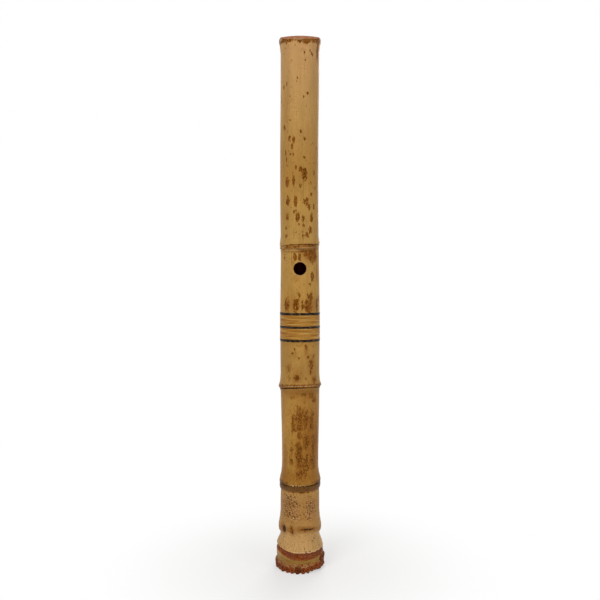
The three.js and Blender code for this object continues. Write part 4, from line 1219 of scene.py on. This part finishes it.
def place_round(turn, out, height):
    """A place this far out from the centre line, turned from the flute's right"""
    return AXIS_X + math.cos(turn) * out, AXIS_Y + float(sweep(height)) + math.sin(turn) * out, height


def trim_radius():
    """Radius that the roots are trimmed to, in millimetres"""
    low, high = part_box("lower_culm")
    return min(high.x - low.x, high.y - low.y) / 2 / MM - 0.1


def trim_roots(mesh):
    """Keeps the roots inside the flared outline that they are trimmed to, and above the ground"""
    low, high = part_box("lower_culm")
    places = read_places(mesh)
    noise.seed_set(6)
    for size, depth in ((3.2, 0.55), (1.1, 0.2)):
        bends = [noise.noise_vector(Vector(place) / (size * MM)) for place in places]
        places += np.array(bends) * depth * MM
    centre = np.array(((low.x + high.x) / 2, (low.y + high.y) / 2))
    limit = trim_radius() * MM
    out = places[:, :2] - centre
    radius = np.hypot(out[:, 0], out[:, 1])
    over = radius > limit
    places[over, :2] = centre + out[over] * (limit / radius[over])[:, None]
    places[:, 2] = np.maximum(places[:, 2], 0.15 * MM)
    write_places(mesh, places)


class SHAKUHACHI_OT_bore(bpy.types.Operator):
    """Builds the lacquered linings of the bore"""

    bl_idname = "shakuhachi.bore"
    bl_label = "Bore linings"

    def execute(self, context):
        for half, low, high in (("lower", 0.0, LOWER_LINING_TOP), ("upper", UPPER_LINING_FOOT, FLUTE_TOP)):
            section = cavity_section(low, high, LINING_WALL - LINING_GAP) + cavity_section(low, high, 0.0)[::-1]
            lining = revolve(f"{half}_bore_lacquer", section, "Red lacquer", closed=True)
            cut(lining, hole_cutters(half) + (mouth_cutters("Red lacquer") if half == "upper" else []))
            hand_over(lining, f"{half}_section", "red_lacquer", f"{half}_bore_lining")
        return {"FINISHED"}


class SHAKUHACHI_OT_joint(bpy.types.Operator):
    """Builds the tenon and the sleeve that it slides in"""

    bl_idname = "shakuhachi.joint"
    bl_label = "Tenon and sleeve"

    def execute(self, context):
        bore, r = float(eased(BORE, JOINT_HEIGHT)), TENON_RADIUS
        shape = [(r - 0.9, TENON_FOOT), (r - 0.3, TENON_FOOT + 0.2), (r, TENON_FOOT + 0.9)]
        for height in (TENON_TOP - 9.0, TENON_TOP - 7.0):
            shape += [(r, height - 0.5), (r - 0.22, height - 0.15), (r - 0.22, height + 0.15), (r, height + 0.5)]
        shape += [(r, TENON_TOP - 1.0), (r - 0.25, TENON_TOP - 0.35), (r - 0.9, TENON_TOP)]
        shape += [(bore + 0.3, TENON_TOP), (bore, TENON_TOP - 0.4), (bore, TENON_FOOT)]
        tenon = revolve("tenon_tube", shape, "Turned bamboo under lacquer", 96, closed=True)
        inner, outer = TENON_RADIUS + SLIDE_GAP, SLEEVE_RADIUS - 0.02
        shape = [(outer, UPPER_FOOT), (outer, TENON_TOP), (inner, TENON_TOP), (inner, UPPER_FOOT + 0.5),
                 (inner + 0.3, UPPER_FOOT)]
        sleeve = revolve("socket_sleeve_lacquer", shape, "Black lacquer", 96, closed=True)
        settle(tenon)
        settle(sleeve)
        hand_over(tenon, "joint_tenon", "tenon_bamboo", "tenon")
        hand_over(sleeve, "upper_section", "black_lacquer", "socket_sleeve")
        return {"FINISHED"}


class SHAKUHACHI_OT_inlay(bpy.types.Operator):
    """Builds the horn inlay of the blowing edge"""

    bl_idname = "shakuhachi.inlay"
    bl_label = "Blowing edge inlay"

    def execute(self, context):
        horn = "Polished dark horn"
        inlay = inlay_block("blowing_edge_horn", 0.0, 0.0, horn)
        bore = revolve("bore", ((BORE[-1][1], FLUTE_TOP - 30), (BORE[-1][1], FLUTE_TOP + 9)), horn)
        ceiling = Matrix.Translation((AXIS_X, AXIS_Y, FLUTE_TOP))
        cut(inlay, [bore, box_cutter("ceiling", ceiling, 40.0, 20.0, horn)])
        hand_over(inlay, "upper_section", "horn", "blowing_edge_inlay")
        return {"FINISHED"}


def wind(name, node, slot, finish, loops, values):
    """Winds one strand in the place of a CAD winding, its loops lying evenly over that solid's height"""
    pitch, (low, high) = bpy.context.scene.shakuhachi_binding.pitch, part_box(node)
    given = {"Centre": (AXIS_X * MM, AXIS_Y * MM, 0.0), "Steps": 120.0, "Material": finish_of(finish)}
    given["Loops"], given["Pitch"] = float(loops), pitch
    given["First Level"] = (low.z + high.z) / 2 - pitch * (loops - 1) / 2
    strand = new_object(name, [(0, 0, 0)])
    run_tree(strand, "Winding", {**given, **values})
    strand.data.set_sharp_from_angle(angle=math.radians(60))
    hand_over(strand, node.split("_")[0] + "_section", slot, node)


class SHAKUHACHI_OT_rattan(bpy.types.Operator):
    """Winds the two bands of split rattan"""

    bl_idname = "shakuhachi.rattan"
    bl_label = "Rattan bindings"

    def execute(self, context):
        look = context.scene.shakuhachi_binding
        values = {"Loop Radius": (SEAT_RADIUS + 0.32) * MM, "Seam": math.radians(100), "Climb": 40 / 360,
                  "Width": look.rattan_width, "Thickness": look.rattan_thickness, "Flatness": 0.7,
                  "Tuck": 1.2 * MM, "Waver": 0.12 * MM}
        for half, seed in (("upper", 2.0), ("lower", 9.0)):
            wind(f"{half}_rattan_wrap", f"{half}_rattan_binding", "rattan", "Split rattan", look.rattan_loops,
                 {**values, "Seed": seed})
        return {"FINISHED"}


class SHAKUHACHI_OT_cords(bpy.types.Operator):
    """Winds the four black cords that edge the rattan and the joint"""

    bl_idname = "shakuhachi.cords"
    bl_label = "Black cords"

    def execute(self, context):
        values = {"Loop Radius": (SEAT_RADIUS + 0.4) * MM, "Width": context.scene.shakuhachi_binding.cord_width,
                  "Thickness": 0.86 * MM, "Flatness": 1.0, "Tuck": 0.4 * MM, "Waver": 0.1 * MM}
        for half in ("upper", "lower"):
            for part, loops, seam, climb in (("edge", 2, -88, 5 / 360), ("joint", 1, -90, 0.0)):
                cord = f"{half}_{part}_cord"
                wind(f"{cord}_wrap", cord, "black_cord", "Black lacquered cord", loops,
                     {**values, "Seam": math.radians(seam), "Climb": climb, "Seed": 4.0 + loops})
        return {"FINISHED"}


class SHAKUHACHI_OT_stage(bpy.types.Operator):
    """Sets the pale floor, the light and the camera"""

    bl_idname = "shakuhachi.stage"
    bl_label = "Stage"

    def execute(self, context):
        scene, look = context.scene, context.scene.shakuhachi_stage
        scene.view_settings.view_transform = "Standard"
        bpy.ops.mesh.primitive_circle_add(vertices=96, radius=2.5, fill_type="NGON")
        floor = context.active_object
        floor.name = "floor"
        floor.data.materials.append(pale_floor())
        scene.world = white_world()
        for name, place, size, power, tint in (
            ("key", (-0.8, -1.35, 1.1), 0.9, 15.0, (1.0, 0.99, 0.97)),
            ("fill", (1.2, -1.1, 0.5), 1.0, 7.0, (0.98, 0.99, 1.0)),
            ("rear", (0.3, 1.4, 0.9), 1.0, 13.0, (1.0, 1.0, 1.0)),
        ):
            lamp = bpy.data.objects.new(name, bpy.data.lights.new(name, "AREA"))
            lamp.data.size, lamp.data.energy, lamp.data.color = size, power, tint
            scene.collection.objects.link(lamp)
            lamp.location = place
            lamp.rotation_euler = (Vector((0, 0, 0.27)) - Vector(place)).to_track_quat("-Z", "Y").to_euler()
        camera = bpy.data.objects.new("camera", bpy.data.cameras.new("camera"))
        scene.collection.objects.link(camera)
        camera.data.lens = look.lens
        camera.location = (0.0, AXIS_Y * MM - look.distance, look.eye_height)
        camera.rotation_euler = (math.pi / 2 + math.atan2(look.target - look.eye_height, look.distance), 0.0, 0.0)
        scene.camera = camera
        return {"FINISHED"}


def seen_plainly(put):
    """1 where a surface is seen directly, mirrored or through something clear, and 0 where it lights other things"""
    seen = put("LightPath", output=0)
    return put("MAXIMUM", put("MAXIMUM", seen, seen.node.outputs[3]), seen.node.outputs[6])


def pale_floor():
    """Matt white board that keeps the flute's soft shadow and fades into the white ground farther off"""
    material, put = start_material("Matt white board")
    away = put("VectorMath", put("TexCoord", output=3), output=1, operation="LENGTH")
    fade = put("MapRange", away, 0.02, 0.22, 0.5, 1.0, interpolation_type="SMOOTHSTEP")
    board, white = put("BsdfDiffuse", linear("F3F3F2")), put("Emission", (1.0, 1.0, 1.0, 1.0), 1.0)
    put("OutputMaterial", put("MixShader", put("MULTIPLY", fade, seen_plainly(put)), board, white))
    return material


def white_world():
    """White ground to the eye and in reflections, and a soft grey light on everything"""
    world = bpy.data.worlds.new("studio")
    world.use_nodes = True
    world.node_tree.nodes.clear()
    put = partial(add, world.node_tree)
    soft, white = (put("Background", *row) for row in (((1.0, 0.99, 0.97, 1.0), 0.36), ((1.0, 1.0, 1.0, 1.0), 1.0)))
    put("OutputWorld", put("MixShader", seen_plainly(put), soft, white))
    return world


class SHAKUHACHI_PT_panel(bpy.types.Panel):
    """Sizes, colours and pieces of the flute"""

    bl_label = "Shakuhachi"
    bl_idname = "SHAKUHACHI_PT_panel"
    bl_space_type = "VIEW_3D"
    bl_region_type = "UI"
    bl_category = "Shakuhachi"

    def draw(self, context):
        for group in (name for name, _ in SETTINGS):
            box = self.layout.box()
            for name in getattr(context.scene, group).bl_rna.properties.keys():
                if name not in ("rna_type", "name"):
                    box.prop(getattr(context.scene, group), name)
        for operator in OPERATORS:
            self.layout.operator(operator.bl_idname)


SETTINGS = (
    ("shakuhachi_culm", CulmLook),
    ("shakuhachi_roots", RootLook),
    ("shakuhachi_binding", BindingLook),
    ("shakuhachi_stage", StageLook),
)
OPERATORS = (
    SHAKUHACHI_OT_lower_culm, SHAKUHACHI_OT_upper_culm, SHAKUHACHI_OT_roots, SHAKUHACHI_OT_bore, SHAKUHACHI_OT_joint,
    SHAKUHACHI_OT_inlay, SHAKUHACHI_OT_rattan, SHAKUHACHI_OT_cords, SHAKUHACHI_OT_stage,
)
CLASSES = (*(group for _, group in SETTINGS), *OPERATORS, SHAKUHACHI_PT_panel)


def register():
    for cls in CLASSES:
        bpy.utils.register_class(cls)
    for name, group in SETTINGS:
        setattr(bpy.types.Scene, name, PointerProperty(type=group))


def unregister():
    for name, _ in SETTINGS:
        delattr(bpy.types.Scene, name)
    for cls in reversed(CLASSES):
        bpy.utils.unregister_class(cls)


def main():
    """Builds the whole flute and its stage"""
    register()
    for operator in OPERATORS:
        group, name = operator.bl_idname.split(".")
        getattr(getattr(bpy.ops, group), name)()


if __name__ == "__main__":
    main()
